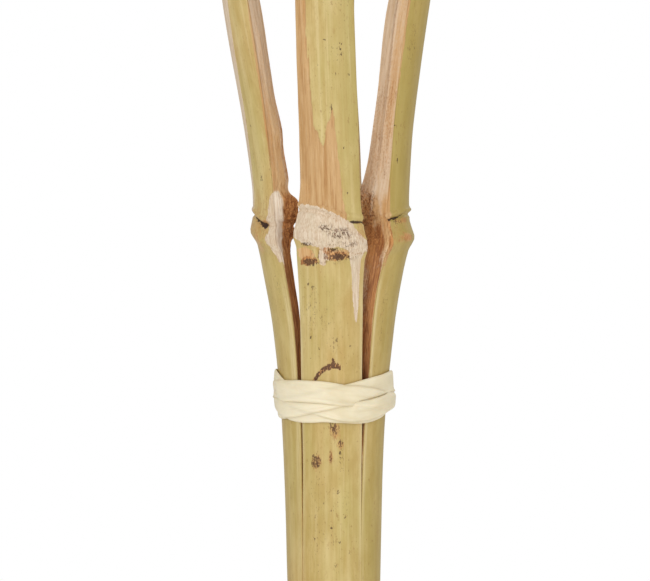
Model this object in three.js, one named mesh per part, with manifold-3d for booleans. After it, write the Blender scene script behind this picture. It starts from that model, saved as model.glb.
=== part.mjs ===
// Garden oil torch on a bamboo pole, in millimetres, +Z up. The origin is on the pole's axis at the tip of its foot.
// One length of bamboo is split from the top into four slats. A rubber band wound round them stops the split, woven
// strips and two hoops hold their spread, and a fuel can with a screw-on wick burner and a snuffer sits in the basket.
import * as THREE from "three";
import { mergeVertices } from "three/addons/utils/BufferGeometryUtils.js";
import Module from "manifold-3d";

const wasm = await Module();
wasm.setup();

// ---- Driving dimensions ----------------------------------------------------------------------------------------
const FIT = 0.3; // gap left between neighbouring solids
const SPLIT_NODE_Z = 1235; // the bamboo joint that the four slats are split through
const ROOT_H = -120; // heights named H count from that joint; the split starts here
const TOP_H = 190;

const CULM_R = 15;
const FOOT_R = 13.6;
const WALL = 5;
const NODE_ZS = [98, 300, 520, 752, 990]; // bamboo joints below the split
const RIDGE = 1.2; // how far a joint's ridge stands proud
const SEPTUM = 2.6; // thickness of the partition inside a joint
const PIERCED_R = 2.5; // partitions are pierced so that the pole can dry
const SPIKE_CUT = 70; // height of the slanting cut that points the foot
const CULM_SEGMENTS = 20;

const BAND_LOW_H = -64;
const BAND_HIGH_H = -45;
const BAND_THICK = 2.3;

const STRIP = { width: 6.4, thick: 1.2, pitch: 7.4, firstH: 103, rows: 10 };
const RIB = { width: 5, thick: 1.6, lowH: 97, highH: 187, radius: [[97, 32.6], [182, 41.5]] };
const HOOP = { width: 10, thick: 1.5, midH: 182 };
const BRAD = { r: 0.6, headR: 1.7, head: 0.7 };

const CAN = { r: 31, baseH: 127.2, height: 76, sheet: 1 };
const NECK_R = 14.6;
const LATHE_SEGMENTS = 28;

// ---- The four slats --------------------------------------------------------------------------------------------
// facing: direction in degrees from the front (-Y), towards +X. spread: how far the slat's own centre has moved out.
// drift: sideways shift. rind and core: where the outer and inner faces end on each side, in degrees from facing.
const SLATS = {
  front: {
    facing: -3.6,
    spread: [[-120, 0], [-64, 1.3], [-32, 4], [-9, 8], [2, 9.8], [17, 10.4], [36, 12.4], [76, 18.6], [190, 35]],
    drift: [[-60, 0], [0, -0.4], [76, -2.6], [130, -1], [170, 0]],
    rind: [[[-20, -38.2], [6, -39.5], [30, -36.5]], [[-20, 38.2], [20, 39]]],
    core: [[[-12, -38], [18, -22], [80, -22], [105, -39]], [[-12, 38], [18, 18], [80, 18], [105, 39]]],
  },
  right: {
    facing: 83.2,
    spread: [[-120, 0], [-64, 1.5], [-32, 4.7], [-9, 9], [2, 10.9], [17, 10.3], [36, 11.5], [76, 17.3], [190, 35]],
    drift: [[-60, 0], [0, 0]],
    rind: [[[-20, -47], [20, -50], [105, -47]], [[-20, 47], [20, 44]]],
    core: [[[-12, -46.6], [18, -75], [80, -73], [105, -46]], [[-12, 46.6], [18, 44]]],
  },
  back: {
    facing: 176.6,
    spread: [[-120, 0], [-64, 1.3], [-32, 4], [-9, 8], [2, 9.8], [17, 10.4], [36, 12.4], [76, 18.6], [190, 35]],
    drift: [[-60, 0], [20, 1.4], [76, 4.1], [130, 1.5], [170, 0]],
    rind: [[[-20, -44.8], [20, -38.5]], [[-20, 44.8], [20, 38.5]]],
    core: [[[-20, -44.4], [20, -38]], [[-20, 44.4], [20, 38]]],
  },
  left: {
    facing: -90.2,
    spread: [[-120, 0], [-64, 1.9], [-32, 4.8], [-9, 8.8], [2, 10.8], [17, 11.9], [36, 14.6], [76, 21.6], [190, 35]],
    drift: [[-60, 0], [0, 0]],
    rind: [[[-20, -46.8], [20, -42]], [[-20, 46.8], [20, 60], [80, 60], [105, 46]]],
    core: [[[-20, -46.4], [20, -42]], [[-12, 46.4], [18, 70], [80, 68], [105, 46]]],
  },
};
const SLAT_HEIGHTS = [
  -119.7, -95, -64, -45, -28, -12, -6, -2, 0, 3, 5, 6.5, 10, 16, 24, 36, 54, 76, 92, 105, 130, 160, 190,
];
const SLAT_ARC_STEPS = 5;

// ---- Small helpers ---------------------------------------------------------------------------------------------
const radians = THREE.MathUtils.degToRad;
// A unit vector in the level plane, degrees from the front (-Y) towards +X.
const toward = (degrees) => new THREE.Vector2(Math.sin(radians(degrees)), -Math.cos(radians(degrees)));

function slopeAt(keys, i) {
  const before = keys[Math.max(i - 1, 0)];
  const after = keys[Math.min(i + 1, keys.length - 1)];
  return (after[1] - before[1]) / (after[0] - before[0]);
}

// The value at h on a smooth line through [height, value] keys, held level past both ends.
function along(keys, h) {
  if (h <= keys[0][0]) return keys[0][1];
  if (h >= keys.at(-1)[0]) return keys.at(-1)[1];
  const i = keys.findIndex(([at]) => at > h) - 1;
  const [h0, v0] = keys[i];
  const [h1, v1] = keys[i + 1];
  const span = h1 - h0;
  const t = (h - h0) / span;
  const rise = v1 - v0;
  const m0 = slopeAt(keys, i) * span;
  const m1 = slopeAt(keys, i + 1) * span;
  return v0 + m0 * t + (3 * rise - 2 * m0 - m1) * t * t + (m0 + m1 - 2 * rise) * t * t * t;
}

// A rounded bump of height 1 at 0, and 0 beyond the half width.
const bump = (x, halfWidth) => (Math.abs(x) < halfWidth ? 0.5 + 0.5 * Math.cos((Math.PI * x) / halfWidth) : 0);

// A closed mesh through sections of the same number of points. ring joins the last section to the first; otherwise
// both ends are capped, which needs sections whose second half runs back alongside the first.
function loft(sections, ring) {
  const size = sections[0].length;
  const positions = sections.flat().flatMap((p) => [p.x, p.y, p.z]);
  const index = [];
  const quad = (a, b, c, d) => index.push(a, b, c, a, c, d);
  const spans = ring ? sections.length : sections.length - 1;
  for (let i = 0; i < spans; i++) {
    const here = i * size;
    const next = ((i + 1) % sections.length) * size;
    for (let j = 0; j < size; j++) {
      const k = (j + 1) % size;
      quad(here + j, here + k, next + k, next + j);
    }
  }
  if (!ring) {
    const end = (sections.length - 1) * size;
    for (let j = 0; j < size / 2 - 1; j++) {
      quad(j, size - 1 - j, size - 2 - j, j + 1);
      quad(end + j, end + j + 1, end + size - 2 - j, end + size - 1 - j);
    }
  }
  const geometry = new THREE.BufferGeometry();
  geometry.setAttribute("position", new THREE.Float32BufferAttribute(positions, 3));
  geometry.setIndex(index);
  return geometry;
}

// A solid of revolution about Z from a closed [radius, z] outline that runs anticlockwise.
function turned(outline, segments = LATHE_SEGMENTS) {
  const profile = [...outline, outline[0]].map(([r, z]) => new THREE.Vector2(r, z));
  return new THREE.LatheGeometry(profile, segments).rotateX(Math.PI / 2);
}

function toSolid(geometry) {
  const plain = new THREE.BufferGeometry().setAttribute("position", geometry.getAttribute("position"));
  plain.setIndex(geometry.index);
  const merged = mergeVertices(plain, 1e-3);
  return new wasm.Manifold(
    new wasm.Mesh({
      numProp: 3,
      vertProperties: merged.attributes.position.array,
      triVerts: new Uint32Array(merged.index.array),
    }),
  );
}

function cutAway(geometry, ...tools) {
  const left = tools.reduce((solid, tool) => solid.subtract(toSolid(tool)), toSolid(geometry)).getMesh();
  const cut = new THREE.BufferGeometry();
  cut.setAttribute("position", new THREE.BufferAttribute(left.vertProperties, 3));
  cut.setIndex(new THREE.BufferAttribute(left.triVerts, 1));
  return cut;
}

// ---- Materials -------------------------------------------------------------------------------------------------
const finish = (color, roughness, metalness = 0) => new THREE.MeshStandardMaterial({ color, roughness, metalness });
const BAMBOO = finish(0xc8b071, 0.5);
const SPLIT_BAMBOO = finish(0xc7a070, 0.7);
const RUBBER = finish(0xece1c4, 0.55);
const TINPLATE = finish(0xb9bab6, 0.35, 1);
const STEEL = finish(0x9a9a98, 0.4, 1);
const SEAL_RUBBER = finish(0x2a2725, 0.8);
const WICK_COTTON = finish(0xe6e0cf, 0.95);

const torch = new THREE.Group();
function add(name, geometry, material) {
  const mesh = new THREE.Mesh(geometry, material);
  mesh.name = name;
  torch.add(mesh);
  return mesh;
}

// ---- Pole ------------------------------------------------------------------------------------------------------
const CULM_TOP = SPLIT_NODE_Z + ROOT_H;
const culmRadius = (z) => FOOT_R + (CULM_R - FOOT_R) * (z / CULM_TOP);

function culm() {
  const outer = [];
  for (const z of NODE_ZS) {
    // Ridge, groove and sheath scar of one joint, from below it to above it.
    for (const [dz, dr] of [[-10, 0], [-3, 0.5], [0, RIDGE], [3, 0.5], [5, 0], [6, 0.5], [14, 0]]) {
      outer.push([culmRadius(z) + dr, z + dz]);
    }
  }
  const inner = [];
  for (const z of [...NODE_ZS].reverse()) {
    const bore = culmRadius(z) - WALL;
    inner.push([bore, z + 9], [bore - 2, z + SEPTUM], [PIERCED_R, z + SEPTUM / 2]);
    inner.push([PIERCED_R, z - SEPTUM / 2], [bore - 2, z - SEPTUM], [bore, z - 9]);
  }
  const outline = [
    [FOOT_R, 0],
    ...outer,
    [CULM_R, CULM_TOP],
    [CULM_R - WALL, CULM_TOP],
    ...inner,
    [FOOT_R - WALL, 0],
  ];
  // The spike: everything on the -X side of a plane from the tip at +X up to SPIKE_CUT at -X is cut off.
  const wedge = new THREE.Shape([
    new THREE.Vector2(FOOT_R + 0.2, -1),
    new THREE.Vector2(-FOOT_R - 2, SPIKE_CUT + 4),
    new THREE.Vector2(-4 * FOOT_R, SPIKE_CUT + 4),
    new THREE.Vector2(-4 * FOOT_R, -20),
    new THREE.Vector2(FOOT_R + 0.2, -20),
  ]);
  const knife = new THREE.ExtrudeGeometry(wedge, { depth: 4 * FOOT_R, bevelEnabled: false });
  knife.rotateX(Math.PI / 2).translate(0, 2 * FOOT_R, 0);
  return cutAway(turned(outline, CULM_SEGMENTS), knife);
}
add("bamboo_pole", culm(), BAMBOO);

// ---- Slats -----------------------------------------------------------------------------------------------------
// Outer and inner radius of a slat about its own centre: the joint's ridge outside, and what is left of the
// partition inside.
const slatOuter = (h) => CULM_R + RIDGE * bump(h, 8) + 0.4 * bump(h - 6.5, 2.5);
const slatInner = (h) => CULM_R - WALL - 4.2 * bump(h - 2, 11);

function slatCentre(slat, h) {
  const out = toward(slat.facing).multiplyScalar(along(slat.spread, h));
  return out.addScaledVector(toward(slat.facing + 90), along(slat.drift, h));
}

function slatPoint(slat, h, radius, degrees) {
  const p = slatCentre(slat, h).addScaledVector(toward(slat.facing + degrees), radius);
  return new THREE.Vector3(p.x, p.y, SPLIT_NODE_Z + h);
}

function arcOf(slat, h, radius, edges) {
  const [from, to] = edges.map((keys) => along(keys, h));
  return Array.from({ length: SLAT_ARC_STEPS + 1 }, (_, i) =>
    slatPoint(slat, h, radius, THREE.MathUtils.lerp(from, to, i / SLAT_ARC_STEPS)),
  );
}

function slatSection(slat, h) {
  return [...arcOf(slat, h, slatOuter(h), slat.rind), ...arcOf(slat, h, slatInner(h), slat.core).reverse()];
}

// ---- Rim hoops and the brads through them ----------------------------------------------------------------------
function hoopRadii(inside) {
  const spread = along(SLATS.back.spread, HOOP.midH);
  const lean = 0.9; // the slats lean out over the hoop's width
  if (inside) {
    const clear = spread + (CULM_R - WALL) * Math.cos(radians(47)) - FIT - lean;
    return [clear - HOOP.thick, clear];
  }
  const clear = spread + CULM_R + FIT + lean;
  return [clear, clear + HOOP.thick];
}

function hoop(inside) {
  const [r0, r1] = hoopRadii(inside);
  const low = SPLIT_NODE_Z + HOOP.midH - HOOP.width / 2;
  const high = low + HOOP.width;
  return turned([[r1, low], [r1, high], [r0, high], [r0, low]], 40);
}

// A pin along a slat's facing, with radius r between two distances from the pole's axis.
function radialPin(facing, r, from, to, segments = 8) {
  const pin = new THREE.CylinderGeometry(r, r, to - from, segments);
  pin.translate(0, (from + to) / 2, 0).rotateZ(Math.PI);
  return pin.rotateZ(radians(facing)).translate(0, 0, SPLIT_NODE_Z + HOOP.midH);
}

const BRAD_HOLE_R = BRAD.r + FIT;
const outerRimR = hoopRadii(false)[1];
const innerRimR = hoopRadii(true)[0];
const bradHoles = Object.values(SLATS).map((slat) =>
  radialPin(slat.facing, BRAD_HOLE_R, innerRimR - 5, outerRimR + 5),
);

for (const [side, slat] of Object.entries(SLATS)) {
  const whole = loft(SLAT_HEIGHTS.map((h) => slatSection(slat, h)), false);
  add("slat_" + side, cutAway(whole, ...bradHoles), BAMBOO);
}
add("rim_hoop_outer", cutAway(hoop(false), ...bradHoles), SPLIT_BAMBOO);
add("rim_hoop_inner", cutAway(hoop(true), ...bradHoles), SPLIT_BAMBOO);

// One headed pin: its shank reaches through both hoops, and its head lies on the outer one.
function brad(facing) {
  const length = outerRimR + FIT - (innerRimR - 0.6);
  const outline = [
    [0, 0],
    [BRAD.r, 0],
    [BRAD.r, length],
    [BRAD.headR, length],
    [BRAD.headR * 0.7, length + BRAD.head],
    [0, length + BRAD.head],
  ];
  const profile = outline.map(([r, z]) => new THREE.Vector2(r, z));
  const pin = new THREE.LatheGeometry(profile, 10).translate(0, innerRimR - 0.6, 0);
  return pin.rotateZ(Math.PI + radians(facing)).translate(0, 0, SPLIT_NODE_Z + HOOP.midH);
}
for (const [side, slat] of Object.entries(SLATS)) add("rim_brad_" + side, brad(slat.facing), STEEL);

// ---- Rubber band -----------------------------------------------------------------------------------------------
// Outline that a stretched band takes round the four slats at one height: the convex hull of their outer faces.
function hullAround(h) {
  const points = Object.values(SLATS)
    .flatMap((slat) => [-40, -20, 0, 20, 40].map((d) => slatPoint(slat, h, slatOuter(h), d)))
    .sort((a, b) => a.x - b.x || a.y - b.y);
  const half = (list) => {
    const chain = [];
    for (const p of list) {
      const turnsBack = () => {
        const [a, b] = chain.slice(-2);
        return (b.x - a.x) * (p.y - a.y) - (b.y - a.y) * (p.x - a.x) <= 0;
      };
      while (chain.length > 1 && turnsBack()) chain.pop();
      chain.push(p);
    }
    return chain.slice(0, -1);
  };
  return [...half(points), ...half([...points].reverse())];
}

// Distance from the pole's axis to that outline in one direction.
function hullRadius(hull, direction) {
  const crossings = hull.map((a, i) => {
    const b = hull[(i + 1) % hull.length];
    const edge = new THREE.Vector2(b.x - a.x, b.y - a.y);
    const across = edge.x * direction.y - edge.y * direction.x;
    const t = -(a.x * direction.y - a.y * direction.x) / across;
    const r = (a.x + edge.x * t) * direction.x + (a.y + edge.y * t) * direction.y;
    return t >= 0 && t <= 1 ? r : 0;
  });
  return Math.max(...crossings);
}

function bandSection(degrees) {
  const direction = toward(degrees);
  const at = (h, out) => {
    const widest = hullRadius(hullAround(h), direction) + 3 * FIT + out;
    return new THREE.Vector3(direction.x * widest, direction.y * widest, SPLIT_NODE_Z + h);
  };
  const crown = 0.35 * BAND_THICK;
  const middle = (BAND_LOW_H + BAND_HIGH_H) / 2;
  return [
    at(middle, 0),
    at(BAND_HIGH_H, 0),
    at(BAND_HIGH_H, BAND_THICK - crown),
    at(middle, BAND_THICK),
    at(BAND_LOW_H, BAND_THICK - crown),
    at(BAND_LOW_H, 0),
  ];
}
const BAND_STATIONS = 40;
const bandSections = Array.from({ length: BAND_STATIONS }, (_, i) => bandSection((i * 360) / BAND_STATIONS));
add("rubber_band", loft(bandSections, true), RUBBER);

// ---- Ribs and woven strips -------------------------------------------------------------------------------------
const SIDES = Object.keys(SLATS);
const cornerFacing = (i) => {
  const here = SLATS[SIDES[i]].facing;
  const next = SLATS[SIDES[(i + 1) % SIDES.length]].facing;
  return (here + next + (next < here ? 360 : 0)) / 2;
};

// A point at one radius from the pole's axis, in the level plane at height h.
function aroundAxis(facing, radius, h, across = 0) {
  const p = toward(facing).multiplyScalar(radius).addScaledVector(toward(facing + 90), across);
  return new THREE.Vector3(p.x, p.y, SPLIT_NODE_Z + h);
}

// A thin upright strip halfway between two slats, which the woven strips pass on alternate sides.
function rib(facing) {
  const heights = [RIB.lowH, (RIB.lowH + RIB.highH) / 2, RIB.highH];
  const sections = heights.map((h) => {
    const radius = along(RIB.radius, h);
    const corner = (out, across) => aroundAxis(facing, radius + out * (RIB.thick / 2), h, across * (RIB.width / 2));
    return [corner(1, -1), corner(1, 1), corner(-1, 1), corner(-1, -1)];
  });
  return loft(sections, false);
}
SIDES.forEach((side, i) => {
  const next = SIDES[(i + 1) % SIDES.length];
  add(`basket_rib_${side}_${next}`, rib(cornerFacing(i)), SPLIT_BAMBOO);
});

// The line that a strip follows at one height: outside every slat and inside every rib, or the other way round.
function weaveLine(h, outsideSlats) {
  const rest = STRIP.thick / 2 + FIT;
  const ribRadius = along(RIB.radius, h) + (outsideSlats ? -1 : 1) * (RIB.thick / 2 + rest);
  const points = [];
  SIDES.forEach((side, i) => {
    const slat = SLATS[side];
    if (outsideSlats) {
      for (const d of [-50, -28, 0, 28, 50]) points.push(slatPoint(slat, h, CULM_R + rest + 0.15, d));
    } else {
      const chord = (CULM_R - WALL) * Math.cos(radians(47)) - rest;
      for (const across of [-6.5, 6.5]) {
        points.push(aroundAxis(slat.facing, along(slat.spread, h) + chord, h, across));
      }
    }
    for (const across of [-3.2, 3.2]) points.push(aroundAxis(cornerFacing(i), ribRadius, h, across));
  });
  return new THREE.CatmullRomCurve3(points, true, "centripetal");
}

function weaver(h, outsideSlats) {
  const low = weaveLine(h - STRIP.width / 2, outsideSlats);
  const high = weaveLine(h + STRIP.width / 2, outsideSlats);
  const stations = low.points.length * (outsideSlats ? 2 : 3);
  const sections = Array.from({ length: stations }, (_, i) => {
    const u = i / stations;
    const corner = (line, out) => {
      const heading = line.getTangent(u);
      const outward = new THREE.Vector3(heading.y, -heading.x, 0).normalize();
      return line.getPoint(u).addScaledVector(outward, out * (STRIP.thick / 2));
    };
    return [corner(high, -1), corner(high, 1), corner(low, 1), corner(low, -1)];
  });
  return loft(sections, true);
}

for (let row = 0; row < STRIP.rows; row++) {
  const name = "woven_strip_" + String(row + 1).padStart(2, "0");
  add(name, weaver(STRIP.firstH + row * STRIP.pitch, row % 2 === 0), SPLIT_BAMBOO);
}

// ---- Fuel can --------------------------------------------------------------------------------------------------
const CAN_BASE = SPLIT_NODE_Z + CAN.baseH;
const CAN_RIM = CAN_BASE + CAN.height;
const above = (...pairs) => pairs.map(([r, z]) => [r, CAN_RIM + z]);

const canWall = [
  [0, CAN_BASE + 2],
  [CAN.r - 6, CAN_BASE + 2],
  [CAN.r - 4, CAN_BASE],
  [CAN.r - 1, CAN_BASE],
  [CAN.r, CAN_BASE + 1],
  [CAN.r, CAN_RIM],
  [CAN.r - CAN.sheet, CAN_RIM],
  [CAN.r - CAN.sheet, CAN_BASE + 2 + CAN.sheet],
  [0, CAN_BASE + 2 + CAN.sheet],
];
add("fuel_can_body", turned(canWall), TINPLATE);

// The seamed end: an upturned U over the body's rim, a sunk panel, a shoulder and the neck that the burner screws on.
const canEnd = above(
  [CAN.r + FIT, -2.6],
  [CAN.r + 1.3, -2.6],
  [CAN.r + 1.3, 1.6],
  [CAN.r + 0.6, 2.2],
  [CAN.r - 1.8, 2.2],
  [CAN.r - 2.3, 1.6],
  [CAN.r - 2.3, -1.2],
  [NECK_R + 3.9, -1.2],
  [NECK_R, 1.2],
  [NECK_R, 12],
  [NECK_R - 1, 12],
  [NECK_R - 1, 0.6],
  [NECK_R + 3.4, -2.1],
  [CAN.r - CAN.sheet - FIT, -2.1],
  [CAN.r - CAN.sheet - FIT, 0.4],
  [CAN.r + FIT, 0.4],
);
add("fuel_can_top", turned(canEnd), TINPLATE);

// ---- Burner ----------------------------------------------------------------------------------------------------
const CAP_TOP = 14.4;
const TUBE_R = 6.4;
const TUBE_TOP = 31;
const capProfile = above(
  [NECK_R + 0.7, 2.4],
  [NECK_R + 2.1, 2.4],
  [NECK_R + 2.1, CAP_TOP - 0.7],
  [NECK_R + 1.4, CAP_TOP],
  [TUBE_R + FIT, CAP_TOP],
  [TUBE_R + FIT, CAP_TOP - 1],
  [NECK_R + 0.7, CAP_TOP - 1],
);
add("burner_cap", turned(capProfile), STEEL);
add("cap_gasket", turned(above([10, 12.3], [14.2, 12.3], [14.2, 13.1], [10, 13.1])), SEAL_RUBBER);

const tubeProfile = above(
  [TUBE_R - 1.2, -6],
  [TUBE_R, -6],
  [TUBE_R, CAP_TOP + FIT],
  [13, CAP_TOP + FIT],
  [13, CAP_TOP + 1.3],
  [TUBE_R + 0.8, CAP_TOP + 1.8],
  [TUBE_R, CAP_TOP + 2.6],
  [TUBE_R, TUBE_TOP],
  [TUBE_R - 1.2, TUBE_TOP],
);
add("wick_tube", turned(tubeProfile, 24), STEEL);
add("tube_lock_ring", turned(above([6.8, 11.9], [9.4, 11.9], [9.4, 13.1], [6.8, 13.1]), 24), STEEL);

const WICK_R = 4.8;
const WICK_LOW = CAN_BASE + 14 - CAN_RIM;
const wickProfile = above([0, WICK_LOW], [WICK_R, WICK_LOW], [WICK_R, TUBE_TOP + 4.2], [3.6, TUBE_TOP + 5], [0, TUBE_TOP + 5]);
add("wick", turned(wickProfile, 16), WICK_COTTON);

// ---- Snuffer ---------------------------------------------------------------------------------------------------
const SNUFFER_LOW = CAP_TOP + 1.8;
const SNUFFER_CROWN = 48.2;
const bell = above(
  [11.4, SNUFFER_LOW],
  [12.8, SNUFFER_LOW],
  [12.2, SNUFFER_LOW + 1.4],
  [12.2, SNUFFER_CROWN - 7],
  [10.6, SNUFFER_CROWN - 2.2],
  [7, SNUFFER_CROWN],
  [1.9, SNUFFER_CROWN],
  [1.9, SNUFFER_CROWN - 1],
  [6.6, SNUFFER_CROWN - 1],
  [9.8, SNUFFER_CROWN - 2.9],
  [11.2, SNUFFER_CROWN - 7.4],
);
add("snuffer_cap", turned(bell), STEEL);

// The rivet's head is under the crown, and its shank reaches up into the knob.
const rivet = above(
  [0, SNUFFER_CROWN - 2.1],
  [2.6, SNUFFER_CROWN - 2.1],
  [3.2, SNUFFER_CROWN - 1 - FIT],
  [1.5, SNUFFER_CROWN - 1 - FIT],
  [1.5, SNUFFER_CROWN + 5],
  [0, SNUFFER_CROWN + 5],
);
add("snuffer_rivet", turned(rivet, 16), STEEL);

const knob = above(
  [1.8, SNUFFER_CROWN + FIT],
  [3.6, SNUFFER_CROWN + FIT],
  [2.8, SNUFFER_CROWN + 2],
  [4.4, SNUFFER_CROWN + 4.4],
  [4.4, SNUFFER_CROWN + 6.4],
  [2.8, SNUFFER_CROWN + 8.4],
  [0, SNUFFER_CROWN + 8.8],
  [0, SNUFFER_CROWN + 5.4],
  [1.8, SNUFFER_CROWN + 5.4],
);
add("snuffer_knob", turned(knob, 20), STEEL);

export default torch;
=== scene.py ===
"""Looks of the bamboo garden torch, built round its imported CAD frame.

Shapes are in millimetres until make_piece turns them into metres. The camera, the lights and the floor are in metres.
Heights named h count from the bamboo joint that the slats are split through. Directions are degrees round the pole,
from the front (-Y) towards +X. On the split bamboo, the grain attribute holds where a point lay in the whole culm, so
fibres run on from one piece to the next.
"""

import math

import bmesh
import bpy
import numpy as np
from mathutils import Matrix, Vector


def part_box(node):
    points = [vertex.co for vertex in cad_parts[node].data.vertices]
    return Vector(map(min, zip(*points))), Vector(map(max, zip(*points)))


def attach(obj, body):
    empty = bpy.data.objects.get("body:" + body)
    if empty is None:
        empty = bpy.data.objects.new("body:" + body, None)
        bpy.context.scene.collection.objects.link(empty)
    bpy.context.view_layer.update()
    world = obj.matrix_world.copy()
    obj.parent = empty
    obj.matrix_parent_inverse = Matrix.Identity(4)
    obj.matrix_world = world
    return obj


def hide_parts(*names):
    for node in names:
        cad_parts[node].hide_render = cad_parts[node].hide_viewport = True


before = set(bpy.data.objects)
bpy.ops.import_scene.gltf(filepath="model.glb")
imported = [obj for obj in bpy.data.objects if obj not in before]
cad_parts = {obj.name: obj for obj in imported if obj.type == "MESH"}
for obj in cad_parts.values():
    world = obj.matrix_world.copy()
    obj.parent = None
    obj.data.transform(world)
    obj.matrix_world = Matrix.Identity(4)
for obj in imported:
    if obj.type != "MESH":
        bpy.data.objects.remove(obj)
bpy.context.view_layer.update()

MM = 0.001
NODE_ABOVE_SLAT_FOOT = 119.7
NODE_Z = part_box("slat_front")[0].z / MM + NODE_ABOVE_SLAT_FOOT  # the joint that the slats are split through
FINE = 1.0  # how dense the meshes are

# ---- Camera, light and floor -----------------------------------------------
SENSOR_WIDTH = 36
VIEW_WIDTH = 0.212
VIEW_DISTANCE = 1.0
VIEW_ACROSS = -0.0029
VIEW_BELOW_NODE = 19.2  # millimetres
FLOOR_RADIUS = 6


def make_camera():
    data = bpy.data.cameras.new("camera")
    data.sensor_width = SENSOR_WIDTH
    data.lens = SENSOR_WIDTH * VIEW_DISTANCE / VIEW_WIDTH
    data.clip_start = 0.01
    camera = bpy.data.objects.new("camera", data)
    bpy.context.scene.collection.objects.link(camera)
    camera.location = (VIEW_ACROSS, -VIEW_DISTANCE, (NODE_Z - VIEW_BELOW_NODE) * MM)
    camera.rotation_euler = (math.pi / 2, 0, 0)
    bpy.context.scene.camera = camera


def area_light(name, place, target, size, power):
    data = bpy.data.lights.new(name, "AREA")
    data.shape = "RECTANGLE"
    data.size, data.size_y = size
    data.energy = power
    light = bpy.data.objects.new(name, data)
    bpy.context.scene.collection.objects.link(light)
    light.location = place
    x, y, z = np.array(target) - np.array(place)
    light.rotation_euler = (math.atan2(math.hypot(x, y), -z), 0, math.atan2(x, -y) + math.pi)


def make_studio():
    head = NODE_Z * MM
    area_light("key_light", (-1.0, -1.8, head + 0.9), (0, 0, head), (1.7, 2.4), 17)
    area_light("fill_light", (1.5, -1.5, head + 0.3), (0, 0, head), (1.5, 2.4), 11.5)
    area_light("back_light", (0.4, 1.8, head + 1.4), (0, 0, head), (2.0, 1.4), 13)
    area_light("low_light", (-0.4, -1.9, 0.5), (0, 0, 0.5), (1.4, 1.0), 6)
    world = bpy.data.worlds.new("studio")
    bpy.context.scene.world = world
    world.use_nodes = True
    tree = world.node_tree
    tree.nodes.clear()
    out = tree.nodes.new("ShaderNodeOutputWorld")
    mix = tree.nodes.new("ShaderNodeMixShader")
    path = tree.nodes.new("ShaderNodeLightPath")
    tree.links.new(path.outputs["Is Camera Ray"], mix.inputs[0])
    for socket, level in ((1, 0.6), (2, 1.0)):
        shade = tree.nodes.new("ShaderNodeBackground")
        shade.inputs["Color"].default_value = (level, level, level, 1)
        tree.links.new(shade.outputs[0], mix.inputs[socket])
    tree.links.new(mix.outputs[0], out.inputs["Surface"])
    bpy.context.scene.view_settings.view_transform = "Standard"

    bpy.ops.mesh.primitive_circle_add(vertices=96, radius=FLOOR_RADIUS, fill_type="NGON")
    floor = bpy.context.object
    floor.name = "floor"
    floor.data.materials.append(Shader("floor_white").finish(Base_Color=(0.92, 0.92, 0.91), Roughness=0.7))


# ---- Numbers: smooth lines and noise ---------------------------------------
def along(keys, h):
    """The smooth line through [place, value] keys."""
    keys = np.asarray(keys, float)
    at, value = keys[:, 0], keys[:, 1]
    h = np.clip(h, at[0], at[-1])
    before = np.r_[0, np.arange(len(at) - 1)]
    after = np.r_[np.arange(1, len(at)), len(at) - 1]
    slope = (value[after] - value[before]) / (at[after] - at[before])
    i = np.clip(np.searchsorted(at, h, "right") - 1, 0, len(at) - 2)
    span = at[i + 1] - at[i]
    t = (h - at[i]) / span
    rise = value[i + 1] - value[i]
    m0, m1 = slope[i] * span, slope[i + 1] * span
    return value[i] + m0 * t + (3 * rise - 2 * m0 - m1) * t**2 + (m0 + m1 - 2 * rise) * t**3


def keyed(h, keys):
    """The straight lines through [place, value] keys."""
    return np.interp(h, *np.array(keys, float).T)


def smooth(low, high, x):
    """0 before low, 1 past high, and a smooth step between."""
    t = np.clip((x - low) / (high - low), 0, 1)
    return t * t * (3 - 2 * t)


def bump(x, half_width):
    """1 where x is 0, falling to 0 at the half width."""
    return np.where(np.abs(x) < half_width, 0.5 + 0.5 * np.cos(np.pi * x / half_width), 0)


def lattice(x, y, z, seed):
    """A number from 0 to 1 for each whole-numbered point."""
    n = (x * 374761393 + y * 668265263 + z * 1274126177 + seed * 974634777) & 0xFFFFFFFF
    n = ((n ^ (n >> 13)) * 1103515245) & 0xFFFFFFFF
    n = ((n ^ (n >> 15)) * 668265263) & 0xFFFFFFFF
    return ((n ^ (n >> 16)) & 0xFFFF) / 65535.0


def noise(x, y, z, seed):
    """Smooth value noise from -1 to 1 with a cell size of 1."""
    x, y, z = np.broadcast_arrays(x, y, z)
    cell = [np.floor(v).astype(np.int64) for v in (x, y, z)]
    f = [v - c for v, c in zip((x, y, z), cell)]
    f = [t * t * (3 - 2 * t) for t in f]
    total = 0
    for dx in (0, 1):
        for dy in (0, 1):
            for dz in (0, 1):
                weight = (f[0] if dx else 1 - f[0]) * (f[1] if dy else 1 - f[1]) * (f[2] if dz else 1 - f[2])
                total = total + weight * lattice(cell[0] + dx, cell[1] + dy, cell[2] + dz, seed)
    return 2 * total - 1


def rough(x, y, z, seed, octaves=3):
    """Several octaves of noise together."""
    layers = (noise(x * 2**i, y * 2**i, z * 2**i, seed + i) / 2**i for i in range(octaves))
    return sum(layers) / (2 - 0.5 ** (octaves - 1))


def toward(degrees):
    a = np.radians(degrees)
    return np.sin(a), -np.cos(a)


# ---- Meshes ----------------------------------------------------------------
def stack(*parts):
    """Coordinates of different shapes as one array of points."""
    return np.stack(np.broadcast_arrays(*parts), -1)


def blank(shape):
    """Empty kind and marks attributes."""
    return np.zeros((*shape, 4), np.float32), np.zeros((*shape, 4), np.float32)


def attributes(grain, kind, marks, tints=None):
    """The attributes for make_piece, by name, from arrays of any shape. grain comes in millimetres."""
    given = {"grain": grain.reshape(-1, 3) * MM, "kind": kind.reshape(-1, 4), "marks": marks.reshape(-1, 4)}
    if tints is not None:
        given["tints"] = tints.reshape(-1, 4)
    return given


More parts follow.
